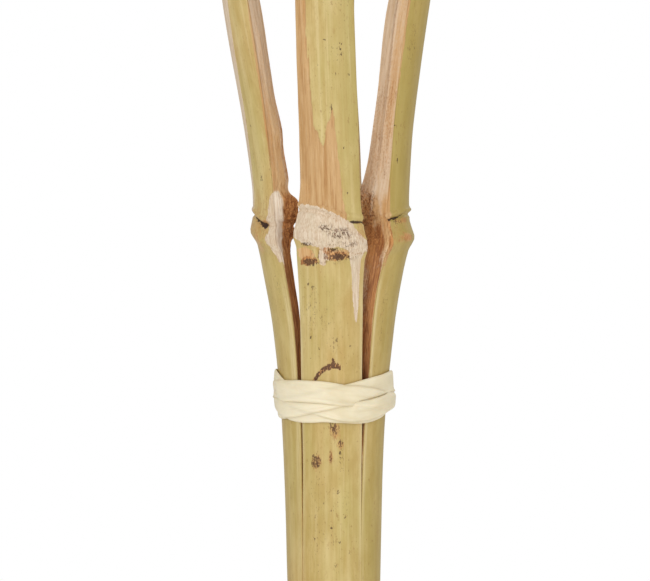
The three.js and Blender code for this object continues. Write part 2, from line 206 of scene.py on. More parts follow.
def make_piece(name, points, faces, material, given, crease=40):
    """A mesh object from points in millimetres and the attributes given."""
    mesh = bpy.data.meshes.new(name)
    mesh.from_pydata((points.reshape(-1, 3) * MM).tolist(), [], faces)
    for key, values in given.items():
        values = np.asarray(values, np.float32)
        if values.shape[-1] == 4:
            layer = mesh.color_attributes.new(key, "FLOAT_COLOR", "POINT")
            layer.data.foreach_set("color", values.ravel())
        else:
            layer = mesh.attributes.new(key, "FLOAT_VECTOR", "POINT")
            layer.data.foreach_set("vector", values.ravel())
    mesh.polygons.foreach_set("use_smooth", [True] * len(mesh.polygons))
    mesh.set_sharp_from_angle(angle=math.radians(crease))
    mesh.materials.append(material)
    piece = bpy.data.objects.new(name, mesh)
    bpy.context.scene.collection.objects.link(piece)
    return piece


def tube_faces(rows, columns, ring=False, flipped=False):
    """Quads of a grid whose columns close on themselves, with its ends capped or its rows joined into a ring."""
    i, j = np.meshgrid(np.arange(rows if ring else rows - 1), np.arange(columns), indexing="ij")
    k = (j + 1) % columns
    n = (i + 1) % rows
    faces = stack(i * columns + j, i * columns + k, n * columns + k, n * columns + j).reshape(-1, 4).tolist()
    if not ring:
        faces.append(list(range(columns))[::-1])
        faces.append(list(range((rows - 1) * columns, rows * columns)))
    return [face[::-1] for face in faces] if flipped else faces


def tidy_mesh(piece):
    """Drops the points that no face uses, and turns the faces outwards."""
    work = bmesh.new()
    work.from_mesh(piece.data)
    bmesh.ops.delete(work, geom=[v for v in work.verts if not v.link_faces], context="VERTS")
    bmesh.ops.recalc_face_normals(work, faces=work.faces)
    work.to_mesh(piece.data)
    work.free()


# ---- Materials -------------------------------------------------------------
class Shader:
    """A material's node tree, written as nested calls."""

    def __init__(self, name):
        self.material = bpy.data.materials.new(name)
        self.material.use_nodes = True
        self.tree = self.material.node_tree
        self.surface = self.tree.nodes["Principled BSDF"]

    def put(self, socket, value):
        if isinstance(value, bpy.types.NodeSocket):
            self.tree.links.new(value, socket)
        elif hasattr(value, "__len__") and len(socket.default_value) > len(value):
            socket.default_value = (*value, 1)
        else:
            socket.default_value = value

    def math(self, operation, a, b=0.0, c=0.0):
        node = self.tree.nodes.new("ShaderNodeMath")
        node.operation = operation
        for socket, value in zip(node.inputs, (a, b, c)):
            self.put(socket, value)
        return node.outputs[0]

    def plus(self, a, b):
        return self.math("ADD", a, b)

    def less(self, a, b):
        return self.math("SUBTRACT", a, b)

    def times(self, a, b):
        return self.math("MULTIPLY", a, b)

    def attribute(self, name, output="Vector"):
        node = self.tree.nodes.new("ShaderNodeAttribute")
        node.attribute_name = name
        return node.outputs[output]

    def channels(self, name):
        node = self.tree.nodes.new("ShaderNodeSeparateColor")
        self.put(node.inputs[0], self.attribute(name, "Color"))
        return node.outputs[0], node.outputs[1], node.outputs[2]

    def noise(self, vector, factors, detail=3.0, roughness=0.55, distortion=0.0):
        """Noise over the vector multiplied by the factors."""
        scaled = self.tree.nodes.new("ShaderNodeVectorMath")
        scaled.operation = "MULTIPLY"
        self.put(scaled.inputs[0], vector)
        scaled.inputs[1].default_value = factors
        node = self.tree.nodes.new("ShaderNodeTexNoise")
        settings = {"Vector": scaled.outputs[0], "Scale": 1.0, "Detail": detail, "Roughness": roughness,
                    "Distortion": distortion}
        for key, setting in settings.items():
            self.put(node.inputs[key], setting)
        return node.outputs["Fac"]

    def step(self, value, low, high, to_low=0.0, to_high=1.0):
        """A smooth step from to_low to to_high as the value goes from low to high."""
        node = self.tree.nodes.new("ShaderNodeMapRange")
        node.interpolation_type = "SMOOTHSTEP"
        settings = {"Value": value, "From Min": low, "From Max": high, "To Min": to_low, "To Max": to_high}
        for key, setting in settings.items():
            self.put(node.inputs[key], setting)
        return node.outputs[0]

    def mix(self, factor, a, b):
        node = self.tree.nodes.new("ShaderNodeMix")
        node.data_type = "RGBA"
        for socket, value in ((0, factor), (6, a), (7, b)):
            self.put(node.inputs[socket], value)
        return node.outputs[2]

    def shaded(self, field, low, high, first, second):
        """From the first colour to the second as the field goes from low to high."""
        return self.mix(self.step(field, low, high), srgb(*first), srgb(*second))

    def tinted(self, base, field, low, high, amount, colour):
        """The base with a colour over it, by 0 to the amount as the field goes from low to high."""
        return self.mix(self.step(field, low, high, 0, amount), base, srgb(*colour))

    def bumped(self, height, distance):
        node = self.tree.nodes.new("ShaderNodeBump")
        node.inputs["Strength"].default_value = 1
        node.inputs["Distance"].default_value = distance
        self.put(node.inputs["Height"], height)
        return node.outputs[0]

    def finish(self, **settings):
        for key, value in settings.items():
            self.put(self.surface.inputs[key.replace("_", " ")], value)
        return self.material


def srgb(r, g, b):
    """A colour as seen on screen, 0 to 255, as scene light."""
    return tuple(((v / 255 + 0.055) / 1.055) ** 2.4 for v in (r, g, b))


def bamboo_material():
    """Bamboo in all its states.

    kind: red shaved, green fuzzy white, blue split face, alpha olive rind, which on the right slat is painted shade.
    marks: red dark brown, green brown, blue dark crack, alpha orange wood. tints: red pale edge, a painted highlight,
    green dark threads, blue painted light that lifts faces turned from the lamps towards bright white.
    """
    s = Shader("bamboo")
    grain = s.attribute("grain")
    shaved, fuzz, split = s.channels("kind")
    dark, brown, crack = s.channels("marks")
    pale, veined, painted_light = s.channels("tints")
    olive_and_shade, orange = s.attribute("kind", "Alpha"), s.attribute("marks", "Alpha")
    hair = s.noise(grain, (2700, 2700, 110))
    streak = s.noise(grain, (850, 850, 22))
    mottle = s.noise(grain, (260, 260, 95), 4, 0.6)
    broad = s.noise(grain, (75, 75, 20))
    dots = s.noise(grain, (2300, 2300, 1200), 3, 0.6)
    bands = s.noise(grain, (360, 360, 5), 2)
    fleck = s.noise(grain, (1250, 1250, 560), 3, 0.65)
    patches = s.noise(grain, (110, 110, 50), 2)
    freckle = s.noise(grain, (700, 700, 330), 3, 0.65)
    curl = s.noise(grain, (760, 760, 300), distortion=0.5)
    ragged = s.plus(s.times(s.less(hair, 0.5), 0.5), s.less(dots, 0.5))

    def edged(mask, spread, low=0.42, high=0.58):
        """The mask with a ragged edge."""
        return s.step(s.math("MULTIPLY_ADD", ragged, spread, mask), low, high)

    rind = s.shaded(mottle, 0.32, 0.68, (188, 161, 97), (206, 183, 124))
    for field, low, high, amount, tint in (
        (broad, 0.42, 0.66, 0.65, (187, 170, 102)),
        (broad, 0.5, 0.3, 0.45, (204, 169, 108)),
        (bands, 0.53, 0.64, 0.3, (212, 193, 138)),
        (bands, 0.46, 0.36, 0.28, (181, 150, 86)),
        (streak, 0.55, 0.72, 0.4, (216, 196, 144)),
        (streak, 0.45, 0.3, 0.35, (180, 150, 86)),
        (hair, 0.56, 0.74, 0.3, (170, 139, 78)),
        (dots, 0.58, 0.72, 0.28, (166, 136, 82)),
    ):
        rind = s.tinted(rind, field, low, high, amount, tint)
    # Olive tint on the rind: its own tone on the weave strips and in patches, and painted shade on the right slat.
    rind = s.mix(s.times(olive_and_shade, 0.8), rind, s.mix(mottle, srgb(158, 133, 58), srgb(182, 158, 84)))
    flecked = s.step(s.less(fleck, s.step(patches, 0.42, 0.62, 0.68, 0.6)), 0, 0.07)
    rind = s.mix(s.times(flecked, 0.5), rind, srgb(150, 112, 60))
    rind = s.tinted(rind, freckle, 0.6, 0.74, 0.4, (172, 136, 80))
    # Painted highlight: paler stripes on the rind beside the split edges.
    rind = s.mix(s.times(pale, 0.85), rind, s.shaded(hair, 0.4, 0.7, (222, 206, 160), (200, 178, 124)))

    wood = s.shaded(streak, 0.3, 0.7, (183, 139, 88), (204, 165, 116))
    wood = s.tinted(wood, hair, 0.5, 0.3, 0.6, (216, 182, 138))
    wood = s.tinted(wood, hair, 0.56, 0.72, 0.6, (162, 110, 64))
    face = s.shaded(streak, 0.3, 0.7, (206, 174, 138), (222, 196, 166))
    face = s.tinted(face, hair, 0.54, 0.74, 0.45, (176, 136, 98))
    tan = s.shaded(streak, 0.3, 0.7, (202, 152, 96), (218, 180, 130))
    tan = s.tinted(tan, hair, 0.54, 0.72, 0.5, (170, 114, 68))
    white = s.shaded(hair, 0.35, 0.65, (226, 208, 184), (206, 180, 150))
    white = s.tinted(white, mottle, 0.45, 0.7, 0.4, (206, 190, 160))
    white = s.tinted(white, dots, 0.6, 0.72, 0.35, (168, 132, 96))
    bright = s.shaded(hair, 0.35, 0.65, (255, 242, 222), (242, 222, 196))
    blotch = s.plus(s.times(hair, 0.6), s.times(mottle, 0.4))
    stain = s.shaded(blotch, 0.4, 0.62, (203, 140, 80), (141, 83, 42))

    colour = s.mix(edged(shaved, 0.9), rind, wood)
    colour = s.mix(s.step(split, 0.3, 0.7), colour, face)
    colour = s.mix(edged(orange, 0.5, 0.25, 0.8), colour, tan)
    colour = s.mix(edged(fuzz, 1.1), colour, white)
    # Painted light: faces that turn away from the lamps are lifted towards bright white.
    colour = s.mix(painted_light, colour, bright)
    colour = s.mix(s.times(edged(brown, 1.2, 0.15, 0.95), 0.92), colour, stain)
    vein = s.times(s.step(s.math("ABSOLUTE", s.less(curl, 0.5)), 0.035, 0.01), veined)
    colour = s.mix(vein, colour, srgb(112, 58, 32))
    darkness = s.math("MINIMUM", s.times(dark, 1.5), 0.85)
    colour = s.mix(s.times(edged(dark, 2.2, 0.5, 0.72), darkness), colour, srgb(74, 49, 32))
    colour = s.mix(s.times(edged(crack, 1.1, 0.3, 0.6), 0.95), colour, srgb(56, 34, 24))

    torn = s.math("MAXIMUM", s.math("MAXIMUM", shaved, fuzz), split)
    height = s.plus(s.times(hair, s.math("MULTIPLY_ADD", torn, 0.8, 0.1)), s.times(streak, 0.22))
    height = s.plus(height, s.times(dots, s.math("MULTIPLY_ADD", torn, 0.35, 0.1)))
    height = s.less(height, s.times(vein, 1.2))
    return s.finish(
        Base_Color=colour,
        Roughness=s.plus(s.step(torn, 0.2, 0.8, 0.44, 0.85), s.times(s.less(mottle, 0.5), 0.16)),
        Normal=s.bumped(height, 0.0002),
        Specular_IOR_Level=0.3,
    )


def rubber_material():
    s = Shader("cream_rubber")
    grain = s.attribute("grain")
    turn_edges = s.channels("marks")[0]
    lines = s.noise(grain, (1500, 1500, 60), 2)
    cloud = s.noise(grain, (220, 220, 90))
    dust = s.noise(grain, (2600, 2600, 2600), 1)
    colour = s.shaded(cloud, 0.3, 0.7, (224, 210, 175), (236, 224, 194))
    colour = s.tinted(colour, lines, 0.5, 0.8, 0.35, (214, 196, 154))
    # Darker along both edges of each turn.
    colour = s.mix(s.times(turn_edges, 0.35), colour, srgb(208, 186, 140))
    return s.finish(
        Base_Color=colour,
        Roughness=s.step(cloud, 0.3, 0.7, 0.5, 0.62),
        Normal=s.bumped(s.plus(s.times(dust, 0.25), s.times(lines, 0.5)), 0.00008),
        Subsurface_Weight=0.12,
        Subsurface_Radius=(0.004, 0.0025, 0.0012),
        Subsurface_Scale=0.3,
    )


def metal_material(name, colour, dull, rough_low, rough_high):
    s = Shader(name)
    grain = s.attribute("grain")
    brushed = s.noise(grain, (2200, 2200, 90))
    cloud = s.noise(grain, (90, 90, 260))
    shade = s.shaded(cloud, 0.35, 0.75, colour, dull)
    return s.finish(
        Base_Color=s.tinted(shade, brushed, 0.55, 0.8, 0.25, dull),
        Metallic=1.0,
        Roughness=s.plus(s.step(cloud, 0.3, 0.7, rough_low, rough_high), s.times(brushed, 0.12)),
        Normal=s.bumped(s.plus(brushed, s.times(cloud, 0.4)), 0.00004),
    )


def wick_material():
    s = Shader("wick_cotton")
    yarn = s.noise(s.attribute("grain"), (2600, 900, 2600))
    colour = s.shaded(yarn, 0.3, 0.7, (208, 200, 178), (240, 235, 220))
    return s.finish(Base_Color=colour, Roughness=0.95, Sheen_Weight=0.3, Normal=s.bumped(yarn, 0.00025))


def gasket_material():
    s = Shader("gasket_rubber")
    cloud = s.noise(s.attribute("grain"), (500, 500, 500))
    colour = s.mix(cloud, srgb(38, 36, 34), srgb(62, 59, 56))
    return s.finish(Base_Color=colour, Roughness=0.75, Normal=s.bumped(cloud, 0.00006))


BAMBOO = bamboo_material()


# ---- Bamboo: pole ----------------------------------------------------------
CULM_R = 15.0
FOOT_R = 13.6
WALL = 5.0
SPLIT_H = -120.0  # where the split starts
TOP_H = 190.0
POLE_NODES = (98, 300, 520, 752, 990)  # heights above the foot
SPIKE = 70  # height of the slanting cut at the foot
LEVEL_FROM = 150  # height from which the pole's rows are level again


def wavy(phi, h):
    """Gentle unevenness of the culm's outside, in millimetres."""
    x, y = toward(phi)
    return 0.12 * rough(x * 1.6, y * 1.6, h / 35, 11) + 0.035 * rough(x * 9, y * 9, h / 14, 21)


def slanted(radius, x, z):
    """Heights moved up so that the lowest row follows the slanting cut."""
    spike = SPIKE * np.clip((FOOT_R - radius * x) / (2 * FOOT_R), 0, 1)
    return np.where(z < LEVEL_FROM, spike + (LEVEL_FROM - spike) * z / LEVEL_FROM, z)


def make_pole():
    top = NODE_Z + SPLIT_H
    joints = [np.linspace(node - 12, node + 16, int(64 * FINE)) for node in POLE_NODES]
    z = np.unique(np.concatenate([np.linspace(0, top, int(560 * FINE)), *joints]))
    phi = np.linspace(0, 360, 96, endpoint=False)
    zz, pp = np.meshgrid(z, phi, indexing="ij")
    radius = FOOT_R + (CULM_R - FOOT_R) * zz / top
    crack = np.zeros_like(zz)
    for i, node in enumerate(POLE_NODES):
        d = zz - node - 1.6 * np.sin(np.radians(pp + 70 * i))
        radius += 1.05 * bump(d, 9) + 0.5 * bump(d - 5.6, 1.2) - 0.45 * bump(d - 3.6, 1.1)
        crack += bump(d - 3.7, 0.8)
    radius += wavy(pp, zz - NODE_Z)
    x, y = toward(pp)
    outer = stack(radius * x, radius * y, slanted(radius, x, zz))

    bore = FOOT_R - WALL
    x, y = toward(phi)
    inner = [stack(r * x, r * y, slanted(r, x, height)) for height, r in (
        (top, CULM_R - WALL), (LEVEL_FROM, bore + 0.1), (LEVEL_FROM / 2, bore), (0, bore))]
    rows = np.concatenate([outer, inner])
    kind, marks = blank(rows.shape[:2])
    kind[len(z):, :, 2] = 1
    marks[: len(z), :, 2] = np.clip(crack, 0, 1) * 0.8
    faces = tube_faces(len(rows), len(phi), ring=True)
    pole = make_piece("pole", rows, faces, BAMBOO, attributes(rows, kind, marks))
    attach(pole, "torch_pole")
    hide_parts("bamboo_pole")


# ---- Bamboo: slats ---------------------------------------------------------
# Height of the sheath scar's lip round the joint that the slats are split through, as [direction, height].
LIPS = {
    "front": [[-60, 7.4], [-35, 7.2], [-20, 6.8], [-9, 6.2], [7, 4.8], [23, 3.8], [39, 3.4], [60, 3.2]],
    "right": [[0, 2], [20, 2.6], [27, 3.6], [36, 4.4], [61, 6.1], [90, 6.5], [180, 6]],
    "back": [[-180, 6], [-130, 6.4], [130, 6.2], [180, 6]],
    "left": [[-180, 6], [-137, 6.5], [-90, 6.4], [-76, 5.6], [-66, 4.4], [-58, 3.4], [-50, 2.7], [-30, 2.7]],
}
RIDGES = {"front": 8.4, "right": 8.0, "back": 7.2, "left": 5.9}  # how far the joint's ridge is below that lip
# Each crack between two slats below the band: its direction and its width, both as [height, value].
CRACKS = {
    ("left", "front"): ([[-120, -42.6], [-113, -41.6], [-62, -40.7]], [[-119, 0], [-113, 0.2], [-62, 0.5]]),
    ("front", "right"): ([[-120, 35.6], [-89, 35.4], [-62, 36.9]], [[-101, 0], [-88, 0.22], [-70, 0.7], [-62, 1]]),
    ("right", "back"): ([[-120, 131], [-62, 131]], [[-105, 0], [-62, 0.7]]),
    ("back", "left"): ([[-120, 222.2], [-62, 222.2]], [[-109, 0], [-62, 0.7]]),
}
FRONT_SPREAD = [[-120, 0], [-64, 1.3], [-32, 4], [-9, 8], [2, 9.8], [17, 10.4], [36, 12.4], [76, 18.6], [190, 35]]

# Each slat: where it faces, how far its centre has moved out and sideways, and on each side the angles from facing at
# which its rind ends and its inner face ends, and the heights of the tips of the cracks beside it.
SLATS = {
    "front": dict(
        facing=-3.6,
        spread=FRONT_SPREAD,
        drift=[[-60, 0], [0, -0.4], [76, -2.6], [130, -1], [170, 0]],
        rind=([[-90, -39.4], [-62, -40.2], [-22, -42.5], [-9, -45], [-3, -44], [6, -42], [16, -37], [75, -33.5],
               [110, -37]],
              [[-90, 39.3], [-62, 41], [-22, 45], [-3, 49], [10, 45], [41, 46], [75, 46], [110, 40]]),
        core=([[-60, -40], [-12, -38], [18, -24], [80, -22], [105, -39]],
              [[-60, 38], [-12, 38], [18, 18], [80, 18], [105, 39]]),
        tip=(-118, -99),
    ),
    "right": dict(
        facing=83.2,
        spread=[[-120, 0], [-64, 1.5], [-32, 4.65], [-20, 6.4], [-9, 8.5], [-4, 9.4], [4, 9.4], [17, 9.8], [36, 11.1],
                [76, 16.6], [125, 24.95], [190, 35]],
        drift=[[-60, 0], [0, 0]],
        rind=([[-90, -47.2], [-62, -42.4], [-47, -48.6], [-35, -51], [-19, -53], [-11, -51.5], [3, -51], [10, -50],
               [17, -48.4], [27, -47], [40, -47.8], [75, -50.5], [110, -48]],
              [[-90, 47], [-20, 46.6], [20, 44]]),
        core=([[-90, -47], [-60, -43], [-45, -48], [-15, -76], [0, -95], [10, -94], [17, -84], [24, -77], [34, -73],
               [45, -72], [75, -75], [110, -46]],
              [[-20, 46], [18, 44]]),
        tip=(-99, -104),
    ),
    "back": dict(
        facing=176.6,
        spread=FRONT_SPREAD,
        drift=[[-60, 0], [20, 1.4], [76, 4.1], [130, 1.5], [170, 0]],
        rind=([[-90, -45], [-20, -44.8], [20, -38.5]], [[-90, 45], [-20, 44.8], [20, 38.5]]),
        core=([[-20, -44.4], [20, -38]], [[-20, 44.4], [20, 38]]),
        tip=(-104, -108),
    ),
    "left": dict(
        facing=-90.2,
        spread=[[-120, 0], [-64, 1.9], [-32, 4.8], [-9, 8.8], [2, 10.5], [17, 11.9], [36, 14.6], [76, 21.6],
                [190, 35]],
        drift=[[-60, 0], [0, 0]],
        rind=([[-90, -46.8], [-20, -46.4], [20, -42]],
              [[-90, 46.8], [-62, 45], [-47, 54], [-16, 58], [10, 56], [20, 57], [75, 64], [110, 48]]),
        core=([[-20, -46.4], [20, -42]],
              [[-90, 46.6], [-60, 44.8], [-47, 50], [-16, 59], [-9.3, 60], [-4.4, 60], [-2.1, 65], [-0.6, 66],
               [0.2, 76], [1, 71], [2.2, 72], [3.6, 79], [5, 85], [6.5, 86], [9, 88], [10.3, 86], [12, 75],
               [13.6, 71], [17, 74], [26, 72], [33, 75], [43, 71.5], [75, 75], [110, 46]]),
        tip=(-108, -118),
    ),
}
SIDES = list(SLATS)
JOINT_ROWS = (-14, 18)  # heights between which a slat's rows are closest
CLOSE_ROWS_TO = 86  # height up to which its rows are close
FACE_STEPS = int(16 * FINE)  # points across a split face
OPENING = 25  # height over which a crack opens from its tip


def centre_of(slat, h):
    """Where a slat's own axis stands at each height."""
    x0, y0 = toward(slat["facing"])
    x1, y1 = toward(slat["facing"] + 90)
    spread, drift = along(slat["spread"], h), along(slat["drift"], h)
    return x0 * spread + x1 * drift, y0 * spread + y1 * drift


def crack_angle(name, side, h):
    """The direction, from a slat's own axis, of the near edge of the crack on one of its sides."""
    line, gape = next(keys for pair, keys in CRACKS.items() if pair[1 - side] == name)
    x, y = toward(keyed(h, line))
    cx, cy = centre_of(SLATS[name], h)
    along_ray = cx * x + cy * y
    reach = along_ray + np.sqrt(np.clip(along_ray**2 - cx**2 - cy**2 + CULM_R**2, 0, None))
    direction = np.degrees(np.arctan2(reach * x - cx, -(reach * y - cy)))
    half = np.degrees(keyed(h, gape) / 2 / CULM_R) * (1 if side == 0 else -1)
    return (direction - SLATS[name]["facing"] + 180) % 360 - 180 + half


def edge_angle(name, side, keys, h):
    """Where a face ends on one side: along the crack below the band, at the keyed angle above it."""
    closed = crack_angle(name, side, h)
    return closed + (along(keys, h) - closed) * smooth(-60, -46, h)


def lip_height(name, phi):
    return keyed((phi + 180) % 360 - 180, LIPS[name])


def slat_radius(name, phi, h):
    """Outer radius at the joint's bulge, with the scar's lip and groove above it."""
    d = h - lip_height(name, phi)
    ridge = d + RIDGES[name]
    swell = np.where(ridge > 0, np.clip(1 - ridge / 5.4, 0, 1) ** 1.2, bump(ridge, 5.0))
    swell = 1.5 * np.where(np.abs(ridge) < 0.6, np.minimum(swell, 0.93), swell) + 0.45 * bump(ridge - 1.3, 13)
    return CULM_R + swell + 0.45 * bump(d - 0.9, 1.3) - 0.5 * bump(d + 0.8, 1.0)


def slat_inner(phi, h):
    """Inner radius: the wall, and the torn remains of the partition at the joint."""
    x, y = toward(phi)
    ragged = rough(x * 6, y * 6, h / 5, 31)
    crumbs = rough(x * 9, y * 9, h / 2, 32)
    return CULM_R - WALL - (4.2 + 1.8 * ragged + 3.2 * crumbs) * bump(h - 2, 12) - 0.25 * ragged


def section_columns(width, corner, middle):
    """Distances from the left edge for one arc: close steps round both corners, even steps between."""
    turn = corner[:, None] * (1 - np.cos(np.linspace(0, np.pi / 2, 5)))[None, :]
    even = corner[:, None] + (width - 2 * corner)[:, None] * np.linspace(0, 1, middle)[None, 1:-1]
    return np.concatenate([turn, even, width[:, None] - turn[:, ::-1]], 1)


def torn_face(h, start, end, seed, openness, groove, rind_at):
    """The split face from one edge to another, each as angles and radii, frayed, with a groove along it where asked
    for. rind_at is 0 or 1, the edge at the rind."""
    t = np.linspace(0, 1, FACE_STEPS + 2)[None, 1:-1]
    a, b = (np.stack([r * np.sin(np.radians(angle)), r * np.cos(np.radians(angle))], -1)[:, None, :]
            for angle, r in (start, end))
    run = b - a
    normal = np.stack([run[..., 1], -run[..., 0]], -1) / np.hypot(run[..., 0], run[..., 1])[..., None]
    at = h[:, None]
    fray = 0.22 * rough(t * 4, 0, at / 6, seed) + 0.3 * rough(t * 2.2, 0, at / 40, seed + 5, 2)
    torn = rough(t * 7, 0, at / 2.2, seed + 9) * bump(at - 3, 17)
    fray = fray + 0.9 * torn * smooth(0.1, 0.45, np.abs(t - rind_at))
    fray = fray - groove * bump(t - 0.52, 0.13) * smooth(14, 30, at)
    fray = fray * (1 - 0.75 * smooth(150, 184, at))
    p = a + run * t[..., None] + normal * (fray * openness[:, None])[..., None]
    return np.degrees(np.arctan2(p[..., 0], p[..., 1])), np.hypot(p[..., 0], p[..., 1])


def make_slat(name):
    slat = SLATS[name]
    h = np.unique(np.concatenate([
        np.arange(SPLIT_H, CLOSE_ROWS_TO, 0.5 / FINE), np.arange(*JOINT_ROWS, 0.25 / FINE),
        np.linspace(CLOSE_ROWS_TO, TOP_H, int(64 * FINE)),
    ]))
    rind = [edge_angle(name, side, slat["rind"][side], h) for side in (0, 1)]
    core = [edge_angle(name, side, slat["core"][side], h) for side in (0, 1)]
    opening = [smooth(tip, tip + OPENING, h) for tip in slat["tip"]]

    corner = 0.02 + 0.33 * np.minimum(*opening)
    width = np.radians(rind[1] - rind[0]) * CULM_R
    d = section_columns(width, corner, int(62 * FINE))
    theta = rind[0][:, None] + np.degrees(d / CULM_R)
    phi = slat["facing"] + theta
    signed = (phi + 180) % 360 - 180
    outer_h = np.broadcast_to(h[:, None], phi.shape)
    near = np.minimum(d, width[:, None] - d)
    c = corner[:, None]
    drop = np.where(near < c, c - np.sqrt(np.clip(c**2 - (c - near) ** 2, 0, None)), 0)
    kind_outer, marks_outer = blank(phi.shape)
    r_outer = slat_radius(name, phi, outer_h) + wavy(phi, outer_h) - drop
    r_outer = r_outer + PAINTERS[name](signed, outer_h, kind_outer, marks_outer)

    across = np.linspace(0, 1, int(22 * FINE))[None, :]
    theta_inner = core[1][:, None] + (core[0] - core[1])[:, None] * across
    r_inner = slat_inner(slat["facing"] + theta_inner, np.broadcast_to(h[:, None], theta_inner.shape))

    theta_r, r_r = torn_face(h, (rind[1], r_outer[:, -1]), (core[1], r_inner[:, 0]), 41, opening[1], 0, 0)
    theta_l, r_l = torn_face(h, (core[0], r_inner[:, -1]), (rind[0], r_outer[:, 0]), 51, opening[0], 0.6, 1)
    theta_all = np.concatenate([theta, theta_r, theta_inner, theta_l], 1)
    r_all = np.concatenate([r_outer, r_r, r_inner, r_l], 1)
    h_all = np.broadcast_to(h[:, None], theta_all.shape)
    x, y = toward(slat["facing"] + theta_all)
    centre_x, centre_y = centre_of(slat, h[:, None])
    rows = stack(centre_x + r_all * x, centre_y + r_all * y, NODE_Z + h_all)

    n, n_inner = theta.shape[1], theta_inner.shape[1]
    t = np.linspace(0, 1, FACE_STEPS + 2)[1:-1]
    depth = np.concatenate([np.zeros(n), t, np.ones(n_inner), 1 - t])
    side = np.repeat([0, 1, 2, -1], [n, FACE_STEPS, n_inner, FACE_STEPS])
    kind, marks = blank(theta_all.shape)
    tints = np.zeros_like(kind)
    paint_split(name, np.broadcast_to(depth, h_all.shape), side, h_all, kind, marks, tints)
    kind[:, :n], marks[:, :n] = kind_outer, marks_outer
    tints[:, :n, 0] = split_edge_highlights(name, d, width[:, None] - d, outer_h)
    if name == "front":
        tints[:, :n, 1] = veins_front(signed, outer_h)
    given = attributes(stack(r_all * x, r_all * y, NODE_Z + h_all), kind, marks, tints)
    piece = make_piece("split_slat_" + name, rows, tube_faces(len(h), theta_all.shape[1]), BAMBOO, given)
    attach(piece, "torch_pole")
    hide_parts("slat_" + name)


# ---- Bamboo: what the slats show -------------------------------------------
def spot(phi, h, at_phi, at_h, across, tall, seed, soft=0.25):
    """A ragged blot of about 1 in its middle. across and tall are its half sizes in millimetres."""
    dx = (phi - at_phi) * np.pi / 180 * CULM_R / across
    dh = (h - at_h) / tall
    edge = 0.45 * rough(phi / 4, h / 1.2, 0, 61 + seed)
    return 1 - smooth(1 - soft, 1 + soft, np.hypot(dx, dh) + edge)


def spots(phi, h, *rows):
    """The strongest of several spots, each given as its strength and what spot takes."""
    return np.maximum.reduce([strength * spot(phi, h, *rest) for strength, *rest in rows])


def dots(strength, across, tall, places, first_seed=0):
    """The spots for a small dot at each place."""
    return [(strength, *place, across, tall, seed) for seed, place in enumerate(places, first_seed)]


def inside_line(value, edge, soft=0.7):
    """1 where value is past edge, 0 before it."""
    return smooth(-soft, soft, value - edge)


def painted(channel, *masks):
    """Raises one channel to the strongest of the masks."""
    channel[...] = np.maximum.reduce([channel, *masks])


def veins_front(phi, h):
    """Where torn fibres show as dark threads on the front slat's joint."""
    return spots(phi, h, (0.8, -6, 0.8, 1.8, 1.1, 51, 0.7), (0.85, 11, -1.2, 3.1, 1.8, 52, 0.7),
                 (0.6, 22, -4, 2.4, 1, 55, 0.7), (0.7, 0, -8, 6, 2, 53, 0.7))


def split_edge_highlights(name, from_first, from_second, h):
    """A painted highlight: the paler rind beside the split edges below the joint, from the distances to both edges
    in millimetres.
    """
    nearest = {"left": from_second, "right": 2 * from_first}
    edge = nearest.get(name, np.minimum(from_first, from_second) + 0.8)
    wander = 0.5 * rough(h / 20, 0, 0, 141)
    stripe = smooth(0.1, 0.5, edge) * (1 - smooth(1.5 + wander, 2.6 + wander, edge))
    return 0.6 * stripe * smooth(-8, -24, h) * keyed(h, [[-120, 0.3], [-80, 0.55], [-62, 1]])


# The shaved wood's edge on the front slat, as [height, direction]: its long run, and both sides of its spike.
STRIP_EDGE = [[26, -5.5], [28.6, -9.5], [31.5, -12.8], [31.8, -15.7], [36.8, -18.1], [45.6, -19.4], [53.8, -20.6],
              [75, -22.5], [110, -30], [190, -60]]
SPIKE_LEFT = [[26.1, -6.3], [30.2, -3.2], [33, -1.5], [34.3, 1.2], [35.8, 4.2], [39, 6.4]]
SPIKE_RIGHT = [[4.5, 20.4], [9.6, 16.3], [13.4, 15], [18.5, 14.5], [22.3, 12.1], [26.7, 11.4], [30.5, 10.3],
              [34.9, 9.3], [39, 6.6]]
# The white, sanded ridge of the joint on the front slat, as [direction, height]: its crest and its lower edge.
WHITE_TOP = [[-60, 6.6], [-35, 7.7], [-18, 7.1], [-10, 6.4], [0, 5.4], [7, 4.5], [15, 3.4], [23, 2.6], [27, 1.6],
             [33, -0.8], [42, -3.2], [60, -7]]
WHITE_LOW = [[-60, -1.5], [-48, -1.9], [-37, -4], [-24, -5], [-13, -5.8], [0, -5.8], [8, -5.5], [16, -6], [21, -6.8],
             [27, -7.4], [60, -6]]
# The white tongue under it, as [height, direction]: its left and right sides.
TONGUE_LEFT = [[-31, 29.2], [-28.8, 27.8], [-25.6, 26.6], [-21.6, 25.4], [-12.5, 24.6], [-7.6, 21], [0, 25]]
TONGUE_RIGHT = [[-31, 30.6], [-28.8, 32.4], [-25.6, 33.6], [-21.6, 34.8], [-12.5, 36.6], [-7.6, 39.4], [-3, 41],
                [0, 28]]
# The dark arched scar above the band, as [direction, height].
SCAR = [[-27, -49], [-21, -46.8], [-15, -45], [-9, -44], [-2, -43.4], [4, -43.4], [9.5, -43.9]]
